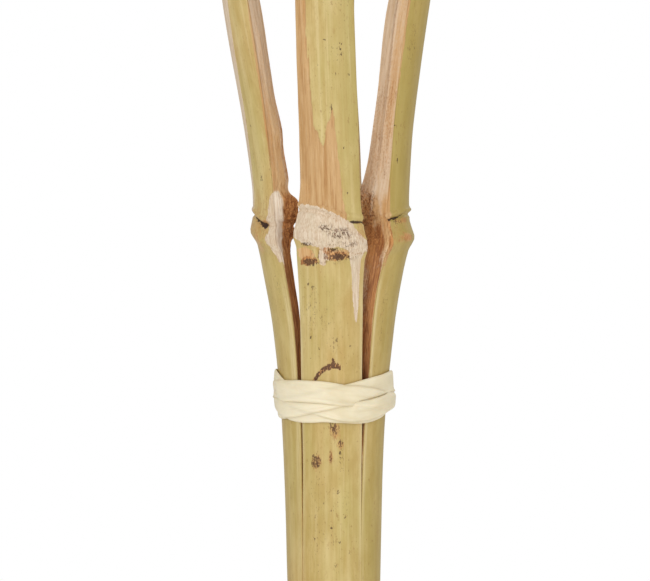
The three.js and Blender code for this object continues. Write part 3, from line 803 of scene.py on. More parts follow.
# Single dots on the rind, as direction and height. The direction of a back dot is from the back.
FRONT_DOTS = [
    (0.6, 60.1), (21.4, 59), (21.2, 57.2), (21, 55.6), (30.7, 49.2), (19.6, 26.1), (22.6, 11.8), (-28.1, -34.4),
    (3.6, -35.4), (-24.3, -18.1), (-31.1, -17.1), (7.6, -71.4), (-3.6, -95.5), (13.7, -92), (1.9, -107.7),
    (-19.4, -109.4), (7.4, -100),
]
FAINT_DOTS = [
    (30, 53), (24, 71), (27, 66.5), (10, 57.6), (14, 49.5), (-8, 52), (-27.5, -24), (-22, -27), (-29, -21),
    (-5, -29.5), (-18, -38), (-30, -41), (22, -37), (12, -26), (-12, -57), (-25, -99), (-12, -87), (5, -84),
    (20, -104), (-2, -90),
]
BACK_DOTS = [(5, 40), (-18, 22), (14, 61), (-4, -31), (22, -24), (-25, -80), (9, -96), (-14, 66)]
# Spots on the front slat: strength, direction, height, half width, half height, seed and softness.
FRONT_BROWN = [
    (0.95, -29, -9.9, 3, 1.5, 3), (0.72, 8, -8.4, 3.8, 1.4, 4), (0.7, -4, -6.6, 1.8, 1.1, 5),
    (0.62, 1.5, -64.5, 1.8, 3, 6, 0.6), (0.66, -22.5, -74.3, 1.6, 2.5, 7, 0.5), (0.65, -3.6, -73, 0.9, 2.1, 8, 0.5),
    (0.6, 7.6, -68.5, 1.1, 1.7, 9, 0.5), (0.3, -20, 47, 0.8, 1.6, 11),
]
FRONT_DARK = [
    (1.0, -28, -10.1, 2.9, 1.2, 13, 0.7), (1.0, 10, -8.5, 3.9, 1.15, 14, 0.7), (0.8, -30.5, -4.4, 2.2, 0.6, 10, 0.5),
    (0.5, -7, 1, 2.3, 1.5, 11, 0.6), (0.52, 11, -1.2, 3.6, 2.1, 12, 0.6), (0.8, 2, -6.2, 2, 0.7, 15, 0.5),
    (0.45, 20, -5.2, 3, 1.2, 29, 0.7), (0.36, 3, -4, 5, 1.4, 30, 0.7), (0.62, 6.5, 38.6, 0.4, 1.6, 16),
    (0.65, 8, -68.5, 0.9, 1.6, 17, 0.5), (0.72, -22.5, -74, 1.6, 2.4, 18, 0.6), (0.6, 0.5, -63.5, 1.7, 2.6, 19, 0.6),
    (0.5, -3.6, -73, 0.9, 2.1, 31, 0.6), (0.52, 9, -73.5, 0.7, 4.5, 20, 0.5), (0.3, -27, -27, 2.6, 10, 21, 0.6),
    (0.3, 0, -36, 3.4, 3.4, 22, 0.6), (0.27, -20, -92, 3, 20, 24, 0.7), (0.27, 0, -92, 1.4, 22, 25, 0.7),
    (0.27, 14, -84, 1.6, 14, 26, 0.7), (0.27, -10, -28, 3, 10, 27, 0.7), (0.3, 16, 56, 3.4, 4, 28, 0.7),
    *dots(0.7, 0.45, 0.52, FRONT_DOTS), *dots(0.54, 0.45, 0.52, FAINT_DOTS, 17),
]


def paint_front(phi, h, kind, marks):
    """Fills in what the front slat's rind shows and returns its relief in millimetres."""
    fine = rough(phi / 0.8, h / 5, 0, 74)
    spiky = 1.9 * rough(phi / 1.3, h / 9, 0, 71) + 1.3 * fine
    bare = inside_line(keyed(h, STRIP_EDGE) + spiky, phi) * (h > 26)
    before_right = inside_line(keyed(h, SPIKE_RIGHT) + 0.6 * spiky, phi)
    spike = inside_line(phi + 0.6 * spiky, keyed(h, SPIKE_LEFT)) * before_right
    top = keyed(phi, WHITE_TOP)
    shaved = np.maximum.reduce([bare, spike * (h < 38.6) * (h > 26), before_right * (h <= 26)])
    shaved = shaved * smooth(1, 3, h - top + 4)

    frayed = 0.5 * fine + 0.5 * rough(phi / 3, h / 3, 0, 76)
    foot = keyed(phi, WHITE_LOW)
    ridge = inside_line(top + 0.9 * frayed + 0.6, h, 0.5) * inside_line(h + 0.8 * frayed, foot, 0.5)
    tongue = inside_line(phi, keyed(h, TONGUE_LEFT), 1.1) * inside_line(keyed(h, TONGUE_RIGHT), phi, 1.4)
    tongue = tongue * (h > -31) * (h < 0)
    spur = spot(phi, h, -10.5, -7.6, 1.5, 3.1, 1)
    fuzz = np.maximum.reduce([ridge, tongue * keyed(h, [[-31, 0.5], [-24, 0.8], [-4, 1]]), spur])
    kind[..., 0] = np.maximum(shaved, fuzz)
    kind[..., 1] = fuzz
    kind[..., 3] = 0.3 * smooth(-4, -40, h) * smooth(0.2, -0.2, rough(phi / 9, h / 22, 0, 79))
    kind[..., 3] += 0.25 * smooth(24, 44, phi) * smooth(0, 14, h)
    tan = spots(phi, h, (1, -33, -7.3, 3.4, 1.9, 2), (0.8, 0, -7.8, 3.2, 1.4, 3), (0.7, 14, -7.2, 3.6, 1.4, 6),
                (0.5, -35, 12, 2.5, 5, 4))
    painted(marks[..., 3], tan * (1 - fuzz), 0.55 * shaved * spot(phi, h, -20, 66, 1.8, 22, 5))
    painted(marks[..., 1], spots(phi, h, *FRONT_BROWN), 0.45 * spot(phi, h, 38, 0, 1.6, 3.2, 10) * (1 - tongue),
            0.35 * bump(h - foot + 0.3, 0.9), 0.3 * bump(h - top + 1.4, 0.9) * inside_line(phi, -5, 6))
    painted(marks[..., 0], spots(phi, h, *FRONT_DARK))

    arch = h - keyed(phi, SCAR)
    away = np.abs(arch) + 0.35 * rough(phi / 2, h / 0.8, 0, 95)
    scar = (1 - smooth(0.6, 1.3, away)) * inside_line(phi, -27, 1.5) * inside_line(9.5, phi, 1.5)
    scar = np.maximum(scar, spot(phi, h, -0.3, -42.2, 0.6, 1.7, 23))
    painted(marks[..., 1], 0.95 * scar)
    painted(marks[..., 0], scar * (1 - 0.3 * bump(arch, 0.7)))
    uneven_line = rough(phi / 3, h / 1.2, 0, 77)
    groove = bump(h - lip_height("front", phi) + 0.9 + 0.4 * uneven_line, 0.75)
    groove = groove * smooth(22, 27, phi) * (1 - smooth(43, 47, phi))
    marks[..., 2] = np.clip(1.3 * groove - 0.2 + 0.8 * uneven_line * groove, 0, 1)
    crest = bump(h - top - 0.25 * frayed, 0.8) * smooth(-30, -22, phi) * (phi < 23)
    relief = -0.42 * shaved * smooth(3, 6, h) - 0.2 * fuzz - 0.3 * scar + 0.3 * crest
    relief += 0.12 * np.maximum(shaved, fuzz) * rough(phi / 1.1, h / 5, 0, 81)
    return relief + 0.22 * fuzz * rough(phi / 4, h / 1.6, 0, 85)


# The edges of the white zone and of the pale rim on the left slat, the rim a painted highlight, as [height,
# direction].
LEFT_WHITE = [[-12, -33], [-10.6, -35], [-8.7, -38], [-6, -42.2], [-4, -46.4], [-2.4, -47.6], [0.5, -43.5],
              [3.8, -43.6], [7, -42.4], [11, -38.5], [12.6, -33]]
LEFT_RIM_HIGHLIGHT = [[-20, -96], [10, -75], [36, -68.5], [56, -64.5], [76, -59.5], [190, -55]]


def paint_left(phi, h, kind, marks):
    uneven = rough(phi / 4, h / 4, 0, 101)
    fine = rough(phi / 0.9, h / 4, 0, 102)
    white_edge = keyed(h, LEFT_WHITE)
    fuzz = inside_line(phi + 3 * uneven + fine, white_edge, 1.2)
    fuzz = fuzz * inside_line(h + uneven, -10.5) * inside_line(12.5, h + uneven)
    orange_edge = keyed(h, [[12, -33], [30, -33], [76, -26], [190, -25]])
    bare = inside_line(phi + fine, orange_edge, 1.5) * (h > 10)
    # Painted highlight: a pale rim down the slat's far side, drawn as white shaved wood.
    pale = inside_line(keyed(h, LEFT_RIM_HIGHLIGHT), phi, 1.2) * smooth(0, 12, h) * inside_line(phi + 2 * uneven, -98, 1.5)
    kind[..., 0] = np.maximum.reduce([fuzz, bare, pale])
    kind[..., 1] = np.maximum(fuzz, 0.9 * pale)
    kind[..., 3] = 0.3 * smooth(0, -8, h)
    painted(marks[..., 3], bare * keyed(h, [[20, 1], [45, 0.65], [75, 0.4]]), 0.3 * bump(h + 2, 9) * (1 - fuzz),
            0.35 * spot(phi, h, -58, 62, 2, 16, 25, 0.6),
            0.6 * spot(phi, h, -66, -4, 2.4, 3.4, 26, 0.6) * (1 - fuzz))
    uneven_line = rough(phi / 3.5, h / 1.2, 0, 103)
    line_width = keyed(phi, [[-76, 0.5], [-60, 1.1], [-48, 1.6]])
    line = bump(h - lip_height("left", phi) + 0.8 + 0.7 * uneven_line, line_width)
    line = line * smooth(-80, -72, phi) * (1 - smooth(-48, -44, phi))
    marks[..., 2] = np.clip(1.25 * line - 0.2 + 0.9 * uneven_line * line, 0, 1)
    painted(marks[..., 1], 0.46 * bump(h - 1, 16) * (1 - fuzz), 0.35 * fuzz * bump(phi - white_edge, 3),
            0.7 * spot(phi, h, -53, 2.6, 2.4, 1.1, 21, 0.5))
    painted(marks[..., 0], spots(phi, h, (1, -51, 1.8, 1.3, 0.8, 22, 0.4), (0.6, -50, 17, 0.8, 1.2, 23),
                                 (0.6, -57, 34, 0.6, 1, 24), (0.4, -46, -19, 1.6, 4, 25, 0.6)))
    return 0.16 * fuzz * rough(phi / 2.5, h / 2, 0, 105) - 0.15 * bare - 0.25 * marks[..., 2]


# Spots on the right slat, given in the same way.
RIGHT_ORANGE = [(0.4, 62, 2, 2, 2, 36, 0.5), (0.65, 60, -1.8, 3.4, 1.6, 40, 0.8), (0.45, 48, -3.2, 2.4, 1.2, 41, 0.8)]
RIGHT_BROWN = [
    (0.72, 58, -2, 3.2, 1.5, 31, 0.7), (0.65, 60, 3.5, 3.2, 1, 42, 0.6), (0.3, 42, 0, 3, 3, 35, 0.8),
    (0.55, 50, 3.2, 2.4, 0.9, 37, 0.5), (0.4, 42, -2.6, 2.6, 1.1, 38, 0.5), (0.6, 26, 0, 1.4, 5, 39, 0.6),
]
RIGHT_DARK = [
    (1, 33.5, 37.9, 0.55, 0.5, 32), (1, 35.6, 34, 0.5, 0.45, 33), (0.7, 44, 22.8, 0.35, 1.6, 34),
    (0.5, 47, 3, 2.6, 0.9, 35, 0.5), (0.35, 50, 60, 2.5, 9, 36, 0.6), (0.3, 44, -28, 2, 12, 37, 0.6),
]


def paint_right(phi, h, kind, marks):
    uneven = rough(phi / 4, h / 4, 0, 111)
    below_lip = h - lip_height("right", phi)
    uneven_line = rough(phi / 3.5, h / 1.2, 0, 113)
    line = bump(below_lip + 0.75 + 0.5 * uneven_line, 0.7 + 0.5 * uneven) * (1 - smooth(57, 63, phi))
    marks[..., 2] = np.clip(1.25 * line - 0.2 + 0.8 * uneven_line * line, 0, 1)
    edge = keyed(h, [[-60, 38], [-12, 35], [-6, 36.5], [0, 36], [6, 35.5], [14, 35], [40, 35], [190, 33]])
    pale = inside_line(edge + uneven, phi, 1.2)
    # Painted shade: the right slat's rind, turned from the key light, is made darker olive, more so higher up and
    # further right.
    kind[..., 3] = np.clip(0.45 + 0.35 * smooth(-50, 20, h) + 0.25 * smooth(38, 60, phi), 0, 1)
    kind[..., 0] = pale * smooth(-16, -6, h)
    painted(marks[..., 3], 0.6 * pale * smooth(-14, 4, h), spots(phi, h, *RIGHT_ORANGE))
    painted(marks[..., 1], pale * bump(h + 2, 10) * smooth(0.7, -0.3, uneven),
            0.3 * bump(below_lip + 0.2, 0.9) * inside_line(66, phi, 4), spots(phi, h, *RIGHT_BROWN))
    painted(marks[..., 0], spots(phi, h, *RIGHT_DARK))
    return 0.25 * bump(below_lip - 0.6, 1) - 0.2 * marks[..., 2]


def paint_back(phi, h, kind, marks):
    uneven = rough(phi / 5, h / 3, 0, 123)
    uneven_line = rough(phi / 3.5, h / 1.2, 0, 124)
    below_lip = h - lip_height("back", phi)
    line = bump(below_lip + 0.9 + 0.5 * uneven_line, 0.7 + 0.4 * uneven)
    marks[..., 2] = np.clip(1.2 * line - 0.3 + 0.9 * uneven_line * line + 0.5 * uneven * line, 0, 1)
    waxy = bump(below_lip + 3.2 + uneven, 2.2) * smooth(-0.35, 0.3, uneven)
    kind[..., 0] = kind[..., 1] = 0.75 * waxy
    from_back = (phi % 360) - 180
    painted(marks[..., 3], 0.5 * spot(from_back, h, -9, -6, 4, 2, 41, 0.7))
    painted(marks[..., 0], spots(from_back, h, (0.5, -12, -8, 3, 1, 42, 0.7), (0.5, 18, 1, 3, 1.5, 43, 0.7),
                                 *dots(0.9, 0.4, 0.45, BACK_DOTS)))
    return 0.15 * waxy * rough(phi / 3, h / 2, 0, 125) - 0.2 * marks[..., 2]


PAINTERS = {"front": paint_front, "right": paint_right, "back": paint_back, "left": paint_left}
# How far the left split face is white, as [height, share of its depth].
WHITE_REACH = [[-12, 0], [-9, 0.14], [-6, 0.33], [-2, 0.4], [0.2, 0.3], [1.2, 0.34], [3.4, 0.4], [5, 0.32],
               [8.7, 0.36], [13, 0.36]]


def paint_split(name, depth, side, h, kind, marks, tints):
    """What the split faces and the inner face show. depth runs from 0 at the rind to 1 at the inner face."""
    column = np.cumsum(np.ones_like(depth), 1)
    uneven = rough(column / 5, h / 5, 0, 131)
    kind[..., 2] = 1
    at_joint = bump(h - 2, 17)
    below = smooth(-3, -14, h)
    brown = np.clip(at_joint * (0.45 + 0.75 * depth) + 0.35 * uneven * at_joint + 0.85 * below, 0, 1)
    if name == "left":
        fresh = smooth(8, 20, h) * (1 - smooth(0.72, 0.95, depth)) * keyed(h, [[20, 0.72], [45, 0.6], [75, 0.42]])
        marks[..., 3] = fresh + 0.8 * (1 - smooth(8, 20, h))
        fine = rough(column / 1.5, h / 7, 0, 133)
        white = inside_line(keyed(h, WHITE_REACH) + 0.03 * fine, depth, 0.06)
        white = white * inside_line(12.8, h + uneven) * inside_line(h + uneven, -11) * (side == 1)
        kind[..., 1] = white
        # Painted light: the white zone and the upper split face, turned from the key light, are lifted towards bright
        # white.
        tints[..., 2] = 0.9 * white + 0.25 * smooth(30, 60, h) * (1 - smooth(0.7, 0.9, depth)) * (side == 1)
        joint = smooth(15, 9, h) * smooth(0.3, 0.5, depth)
        shadow = 0.62 * smooth(0.74, 0.92, depth) * smooth(10, 20, h) * (1 - 0.6 * smooth(30, 60, h))
        brown = np.maximum(np.maximum(brown, joint) * (1 - white), shadow)
        tints[..., 1] = 0.5 * bump(h - 3, 13) * smooth(0.45, 0.7, depth)
        # Painted shadow as well: the second mark below darkens the inner edge above the joint.
        above_joint = smooth(10, 30, h) * (1 - smooth(40, 70, h))
        painted(marks[..., 0], 0.2 * at_joint * depth, 0.3 * smooth(0.8, 1, depth) * above_joint)
    elif name == "right":
        torn = bump(h - 8, 13) * smooth(0.25, 0.6, depth + 0.15 * uneven)
        streak = smooth(0.1, 0.24, depth) * (1 - 0.45 * smooth(0.6, 0.85, depth))
        streak = streak * smooth(-20, -9, h) * smooth(6, 0, h)
        deep = below * smooth(0, 0.08, depth) * (1 - 0.5 * smooth(0.4, 0.8, depth) * smooth(-34, -20, h))
        aged = 0.36 * smooth(60, 40, h) * smooth(10, 16, h)
        brown = np.maximum.reduce([0.5 * brown, 0.6 * torn + 0.5 * uneven * torn, streak, deep, aged])
        brown = np.clip(brown, 0, 1) * (1 - 0.5 * smooth(0.2, 0.08, depth) * smooth(-6, 4, h))
        brown = brown * (1 - 0.5 * smooth(0.6, 0.85, depth) * bump(h - 1, 13))
        marks[..., 3] = np.maximum(0.55 * (1 - smooth(0.3, 0.6, depth)) * smooth(10, 40, h),
                                   np.clip(1.1 * at_joint, 0, 0.9))
        strings = smooth(0.02, 0.3, rough(column / 1.2 + 0.8 * uneven, h / 7, 0, 135, 2)) * bump(h - 9, 15)
        strings = strings * smooth(0.12, 0.2, depth) * (1 - 0.45 * smooth(0.5, 0.65, depth)) * (side == -1)
        brown = brown * (1 - 0.9 * strings)
        # Painted light as well: the torn strings are lifted a little towards bright white.
        tints[..., 2] = 0.35 * strings * smooth(0.75, 0.55, depth)
        tints[..., 1] = 0.6 * bump(h - 8, 11) * smooth(0.3, 0.6, depth + 0.1 * uneven)
        painted(marks[..., 0], 0.08 * torn, 0.08 * at_joint * depth)
        painted(marks[..., 1], 0.36 * bump(depth - 0.52, 0.16) * smooth(14, 30, h) * (side == -1))
    else:
        marks[..., 3] = 0.6 * (1 - depth) * smooth(4, 20, h)
        painted(marks[..., 0], 0.3 * at_joint * depth)
    painted(marks[..., 1], brown)


# ---- Rubber band -----------------------------------------------------------
RUBBER_SHEET = 0.95  # thickness of one turn
# Each turn of the band, from the innermost out: height of its middle and its width, by direction.
TURNS = {
    "low": dict(
        middle=[[-110, -54], [-90, -54.6], [-70, -56.3], [-54, -57.8], [-30, -58.5], [-5, -58.2], [20, -58.6],
                [40, -58.4], [60, -57.2], [80, -55.2], [100, -54.5], [180, -55.5]],
        width=[[-180, 6.6], [180, 6.6]]),
    "cross": dict(
        middle=[[-90, -48.2], [-75, -49.2], [-64, -51], [-45, -53.6], [-15, -56.1], [9, -58], [25, -58.3], [62, -56],
                [90, -54], [180, -49.7]],
        width=[[-180, 6.8], [180, 6.8]]),
    "rise": dict(
        middle=[[-90, -57], [-54, -57], [9, -53], [62, -49.4], [90, -48.6], [180, -52.2]],
        width=[[-180, 6.9], [180, 6.9]]),
    "high": dict(
        middle=[[-90, -51.2], [-54, -51.5], [-15, -51.8], [9, -52.8], [25, -53.1], [49, -54.2], [72, -55.2],
                [90, -55.2], [180, -54]],
        width=[[-180, 6.6], [-110, 6.2], [-82, 5.4], [-58, 6.8], [40, 6.8], [70, 5.8], [100, 5.6], [180, 6.6]]),
}
FLARES = {"rise": (92, 1.1), "cross": (-92, 0.8)}  # where, and how far, a turn's lower edge stands out
CROSSING = (12, 30)  # where the turn named cross comes up over the others, in degrees
UNDER_AGAIN = (150, 175)  # where it goes back under them
GROUND_H = np.arange(-66, -38, 0.2)  # heights at which the shape under the band is worked out


def periodic(keys, phi):
    """A smooth line through [direction, value] keys that joins up with itself after 360 degrees."""
    keys = np.array(keys, float)
    if keys[-1, 0] - keys[0, 0] < 359:
        keys = np.concatenate([keys - [360, 0], keys, keys + [360, 0]])
    return along(keys, (phi + 180) % 360 - 180)


def half_hull(points):
    """The lower or upper side of the hull of sorted points, without its last point."""
    chain = []
    for p in points:
        while len(chain) > 1 and ((chain[-1][0] - chain[-2][0]) * (p[1] - chain[-2][1])
                                  - (chain[-1][1] - chain[-2][1]) * (p[0] - chain[-2][0])) <= 0:
            chain.pop()
        chain.append(p)
    return chain[:-1]


def hull_at(h, phi):
    """Distance from the axis to a band stretched round the four slats at height h."""
    points = []
    for slat in SLATS.values():
        cx, cy = centre_of(slat, h)
        x, y = toward(slat["facing"] + np.linspace(-44, 44, 23))
        r = CULM_R + 0.1
        points += list(zip(cx + r * x, cy + r * y))
    points = sorted(points)
    hull = np.array(half_hull(points) + half_hull(points[::-1]))
    x, y = hull.T[:, :, None]
    ex, ey = (np.roll(hull, -1, 0) - hull).T[:, :, None]
    dx, dy = toward(phi)
    t = -(x * dy - y * dx) / (ex * dy - ey * dx)
    r = (x + ex * t) * dx + (y + ey * t) * dy
    return np.where((t >= 0) & (t <= 1), r, 0).max(0)


def softened(field, along_h, along_phi):
    """The field blurred down its heights and round its directions, as rubber bridges an edge."""
    for axis, amount in ((0, along_h), (1, along_phi)):
        for _ in range(amount):
            before, after = np.roll(field, 1, axis), np.roll(field, -1, axis)
            if axis == 0:
                before[0], after[-1] = field[0], field[-1]
            field = 0.25 * before + 0.5 * field + 0.25 * after
    return field


def make_band(material):
    phi = np.arange(-180, 180, 1.0)
    h = GROUND_H
    middles = {name: periodic(turn["middle"], phi) for name, turn in TURNS.items()}
    halves = {name: periodic(turn["width"], phi) / 2 for name, turn in TURNS.items()}
    over = smooth(*CROSSING, phi) * (1 - smooth(*UNDER_AGAIN, phi))
    beneath = {}
    top = softened(np.array([hull_at(level, phi) for level in h]), 0, 6)
    for name in TURNS:
        beneath[name] = softened(top, 6, 3)
        v = (h[:, None] - middles[name]) / halves[name]
        body = np.clip(1 - np.abs(v) ** 9, 0, 1) * (np.abs(v) < 1)
        raised = beneath[name] + RUBBER_SHEET * body * (1 - over if name == "cross" else 1.0)
        top = np.where(np.abs(v) < 1, np.maximum(top, raised), top)
    beneath["cross"] = beneath["cross"] * (1 - over) + softened(top, 6, 3) * over

    outer_points = 25
    v = np.concatenate([np.linspace(-1, 1, outer_points), np.linspace(1, -1, 13)])
    outside = np.arange(len(v)) < outer_points
    edge = np.clip(1 - np.abs(v) ** 7, 0, 1) ** 0.6
    lift = RUBBER_SHEET * (0.5 + 0.5 * edge) * outside + RUBBER_SHEET * (0.5 - 0.5 * edge) * ~outside
    column = np.arange(len(phi))[:, None]
    for seed, name in enumerate(TURNS):
        at_h = middles[name][:, None] + halves[name][:, None] * v
        at_h = at_h + 0.12 * noise(phi[:, None] / 14, 0, v * 0.3, seed)
        row = np.clip((at_h - h[0]) / (h[1] - h[0]), 0, len(h) - 2)
        low = row.astype(int)
        field = beneath[name]
        base = field[low, column] * (1 - row + low) + field[low + 1, column] * (row - low)
        ripple = 0.07 * noise(phi[:, None] / 22, v * 1.2, 0, 5 + seed) * outside
        flare_at, flare = FLARES.get(name, (0, 0))
        r = base + lift + ripple + flare * (0.5 - 0.5 * v) * bump(phi[:, None] - flare_at, 50) + 0.05
        x, y = toward(phi[:, None])
        kind, marks = blank(r.shape)
        marks[..., 0] = (np.abs(v) > 0.9) * 0.6
        given = attributes(stack(v * 3.4, lift, np.radians(phi)[:, None] * 19), kind, marks)
        faces = tube_faces(len(phi), len(v), ring=True, flipped=True)
        rows = stack(r * x, r * y, NODE_Z + at_h)
        turn = make_piece("band_turn_" + name, rows, faces, material, given, crease=70)
        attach(turn, "torch_pole")
        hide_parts("rubber_band")


# ---- Basket ----------------------------------------------------------------
# joints: directions of the brown marks of the bamboo's joints on a strip.
STRIP = dict(width=6.4, thick=1.2, pitch=7.4, first=103, rows=10, joints=(37, 151, 262))
RIB = dict(width=5.0, thick=1.6, low=97, high=187, radius=[[97, 32.6], [182, 41.5]])
HOOP = dict(width=10, thick=1.5, middle=182, start=222, joints=(64, 205, 331))
GAP = 0.3  # between a strip and what it passes
# A rounded flat section, once round: place across from -1 to 1, offset outwards in thicknesses, and its inner face.
ACROSS = np.array([-1, -0.97, -0.88, -0.5, 0, 0.5, 0.88, 0.97, 1, 0.96, 0.86, 0.4, 0, -0.4, -0.86, -0.96])
OFFSET = np.array([0, 0.3, 0.46, 0.52, 0.54, 0.52, 0.46, 0.3, 0, -0.3, -0.48, -0.5, -0.5, -0.5, -0.48, -0.3])
INNER_FACE = np.arange(len(ACROSS)) >= 9


def corner_facing(i):
    """The direction halfway between a slat and the next one."""
    here, there = SLATS[SIDES[i]]["facing"], SLATS[SIDES[(i + 1) % 4]]["facing"]
    return (here + there + (360 if there < here else 0)) / 2


def around(facing, radius, across=0.0):
    """The place so far out in a direction and so far sideways of it."""
    x0, y0 = toward(facing)
    x1, y1 = toward(facing + 90)
    return np.array([x0 * radius + x1 * across, y0 * radius + y1 * across])


def weave_anchors(h, outside):
    """Points that a strip passes at one height: outside every slat and inside every rib, or the other way round."""
    rest = STRIP["thick"] / 2 + GAP
    rib_radius = along(RIB["radius"], h) + (-1 if outside else 1) * (RIB["thick"] / 2 + rest)
    points = []
    for i, slat in enumerate(SLATS.values()):
        if outside:
            reach = CULM_R + rest + 0.15
            points += [centre_of(slat, h) + around(slat["facing"] + d, reach) for d in (-50, -28, 0, 28, 50)]
        else:
            chord = (CULM_R - WALL) * math.cos(math.radians(47)) - rest
            reach = along(slat["spread"], h) + chord
            points += [around(slat["facing"], reach, across) for across in (-6.5, 6.5)]
        points += [around(corner_facing(i), rib_radius, across) for across in (-3.2, 3.2)]
    return np.array(points)


def closed_curve(points, steps):
    """A centripetal Catmull-Rom curve through points, closed, as places and level outward normals."""
    count = len(points)
    u = np.arange(steps) * count / steps
    i = u.astype(int)
    t = (u - i)[:, None]
    p0, p1, p2, p3 = (points[(i + k) % count] for k in (-1, 0, 1, 2))
    gap = [np.sqrt(np.linalg.norm(b - a, axis=1))[:, None] for a, b in ((p0, p1), (p1, p2), (p2, p3))]
    m1 = ((p1 - p0) / gap[0] - (p2 - p0) / (gap[0] + gap[1]) + (p2 - p1) / gap[1]) * gap[1]
    m2 = ((p2 - p1) / gap[1] - (p3 - p1) / (gap[1] + gap[2]) + (p3 - p2) / gap[2]) * gap[1]
    place = p1 + m1 * t + (-3 * p1 + 3 * p2 - 2 * m1 - m2) * t**2 + (2 * p1 - 2 * p2 + m1 + m2) * t**3
    heading = np.roll(place, -1, 0) - np.roll(place, 1, 0)
    normal = np.stack([heading[:, 1], -heading[:, 0]], -1)
    return place, normal / np.linalg.norm(normal, axis=1)[:, None]


def make_weaver(row):
    h = STRIP["first"] + row * STRIP["pitch"]
    outside = row % 2 == 0
    steps = int(420 * FINE)
    low, normal = closed_curve(weave_anchors(h - STRIP["width"] / 2, outside), steps)
    high, _ = closed_curve(weave_anchors(h + STRIP["width"] / 2, outside), steps)
    out = OFFSET * STRIP["thick"]
    angle = np.linspace(0, 360, steps, endpoint=False)
    x, y = toward(angle)
    v = ACROSS * (1 + 0.05 * noise(2 * x, 2 * y, row, 3))[:, None]
    lift = 0.38 * noise(1.7 * x, 1.7 * y, row, 4)[:, None]
    place = (low + high)[:, None] / 2 + (high - low)[:, None] / 2 * v[..., None] + normal[:, None] * out[:, None]
    rows = stack(place[..., 0], place[..., 1], NODE_Z + h + STRIP["width"] / 2 * v + lift)
    length = np.cumsum(np.linalg.norm(low - np.roll(low, 1, 0), axis=1))
    grain = stack(v * STRIP["width"] / 2 + 40 * row, out + 9 * row, length[:, None])
    kind, marks = blank(v.shape)
    kind[..., 2] = INNER_FACE
    kind[..., 3] = (0.1, 0.7, 0.35)[row % 3]
    for at in STRIP["joints"]:
        from_joint = (angle - at - 41 * row + 180) % 360 - 180
        marks[..., 1] = np.maximum(marks[..., 1], 0.5 * bump(from_joint, 1.6)[:, None])
    faces = tube_faces(steps, len(ACROSS), ring=True, flipped=True)
    name = f"woven_strip_{row + 1:02d}"
    piece = make_piece("bamboo_" + name, rows, faces, BAMBOO, attributes(grain, kind, marks), crease=60)
    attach(piece, "torch_pole")
    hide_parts(name)


def make_rib(i):
    facing = corner_facing(i)
    h = np.linspace(RIB["low"], RIB["high"], int(90 * FINE))
    radius = along(RIB["radius"], h) + 0.12 * noise(h / 16, i, 0, 7)
    half_width = RIB["width"] / 2 * (1 - 0.25 * smooth(RIB["low"] + 6, RIB["low"], h))
    out = OFFSET * RIB["thick"]
    x, y = around(facing, radius[:, None] + out, ACROSS * half_width[:, None])
    kind, marks = blank(x.shape)
    kind[..., 2] = INNER_FACE
    given = attributes(stack(ACROSS * RIB["width"] / 2 + 70 * i, out, h[:, None]), kind, marks)
    rows = stack(x, y, NODE_Z + h[:, None])
    faces = tube_faces(len(h), len(ACROSS))
    piece = make_piece("upright_rib_" + str(i + 1), rows, faces, BAMBOO, given, crease=60)
    name = f"basket_rib_{SIDES[i]}_{SIDES[(i + 1) % 4]}"
    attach(piece, "torch_pole")
    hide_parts(name)


def make_hoop(name, overlap, seed):
    """A bent strip whose far end meets its near one, or laps over it."""
    outer_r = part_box(name)[1].x / MM
    steps = int(320 * FINE)
    turn = np.linspace(0, 360 + overlap, steps)
    out = OFFSET * HOOP["thick"]
    climb = (HOOP["thick"] + 0.05) * smooth(352, 366, turn)
    thin = 1 - 0.7 * smooth(360 + overlap - 9, 360 + overlap, turn)
    x, y = toward(HOOP["start"] + turn)
    r = (outer_r - HOOP["thick"] / 2 + climb)[:, None] + out * thin[:, None]
    r = r + 0.1 * noise(4 * x, 4 * y, 0, seed)[:, None]
    z = NODE_Z + HOOP["middle"] + ACROSS * HOOP["width"] / 2
    z = z + 0.25 * noise(1.5 * x, 1.5 * y, 3, seed)[:, None]
    rows = stack(r * x[:, None], r * y[:, None], z)
    grain = stack(ACROSS * HOOP["width"] / 2 + 200 * seed, out, (np.radians(turn) * outer_r)[:, None])
    kind, marks = blank(r.shape)
    kind[..., 2] = INNER_FACE
    for at in HOOP["joints"]:
        marks[..., 1] = np.maximum(marks[..., 1], 0.6 * bump(turn - at - 30 * seed, 1.0)[:, None])
    faces = tube_faces(steps, len(ACROSS), flipped=True)
    piece = make_piece("bent_" + name, rows, faces, BAMBOO, attributes(grain, kind, marks), crease=60)
    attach(piece, "torch_pole")
    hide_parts(name)


# ---- Turned metal ----------------------------------------------------------
def rounded(outline, radius):
    """The closed outline with each corner off the axis turned into a small arc."""
    outline = np.array(outline, float)
    result = []
    for i, p in enumerate(outline):
        if p[0] == 0:
            result.append(p)
            continue
        a, b = outline[i - 1] - p, outline[(i + 1) % len(outline)] - p
        la, lb = np.linalg.norm(a), np.linalg.norm(b)
        reach = min(radius, 0.45 * la, 0.45 * lb)
        p0, p2 = p + a / la * reach, p + b / lb * reach
        result += [(1 - t) ** 2 * p0 + 2 * t * (1 - t) * p + t**2 * p2 for t in np.linspace(0, 1, 4)]
    return np.array(result)


def divided(profile, spacing):
    """The closed profile with points added so that they are about the spacing apart."""
    dense = []
    for a, b in zip(profile, np.roll(profile, -1, 0)):
        count = max(1, int(np.linalg.norm(b - a) / spacing))
        dense += [a + (b - a) * k / count for k in range(count)]
    return np.array(dense)


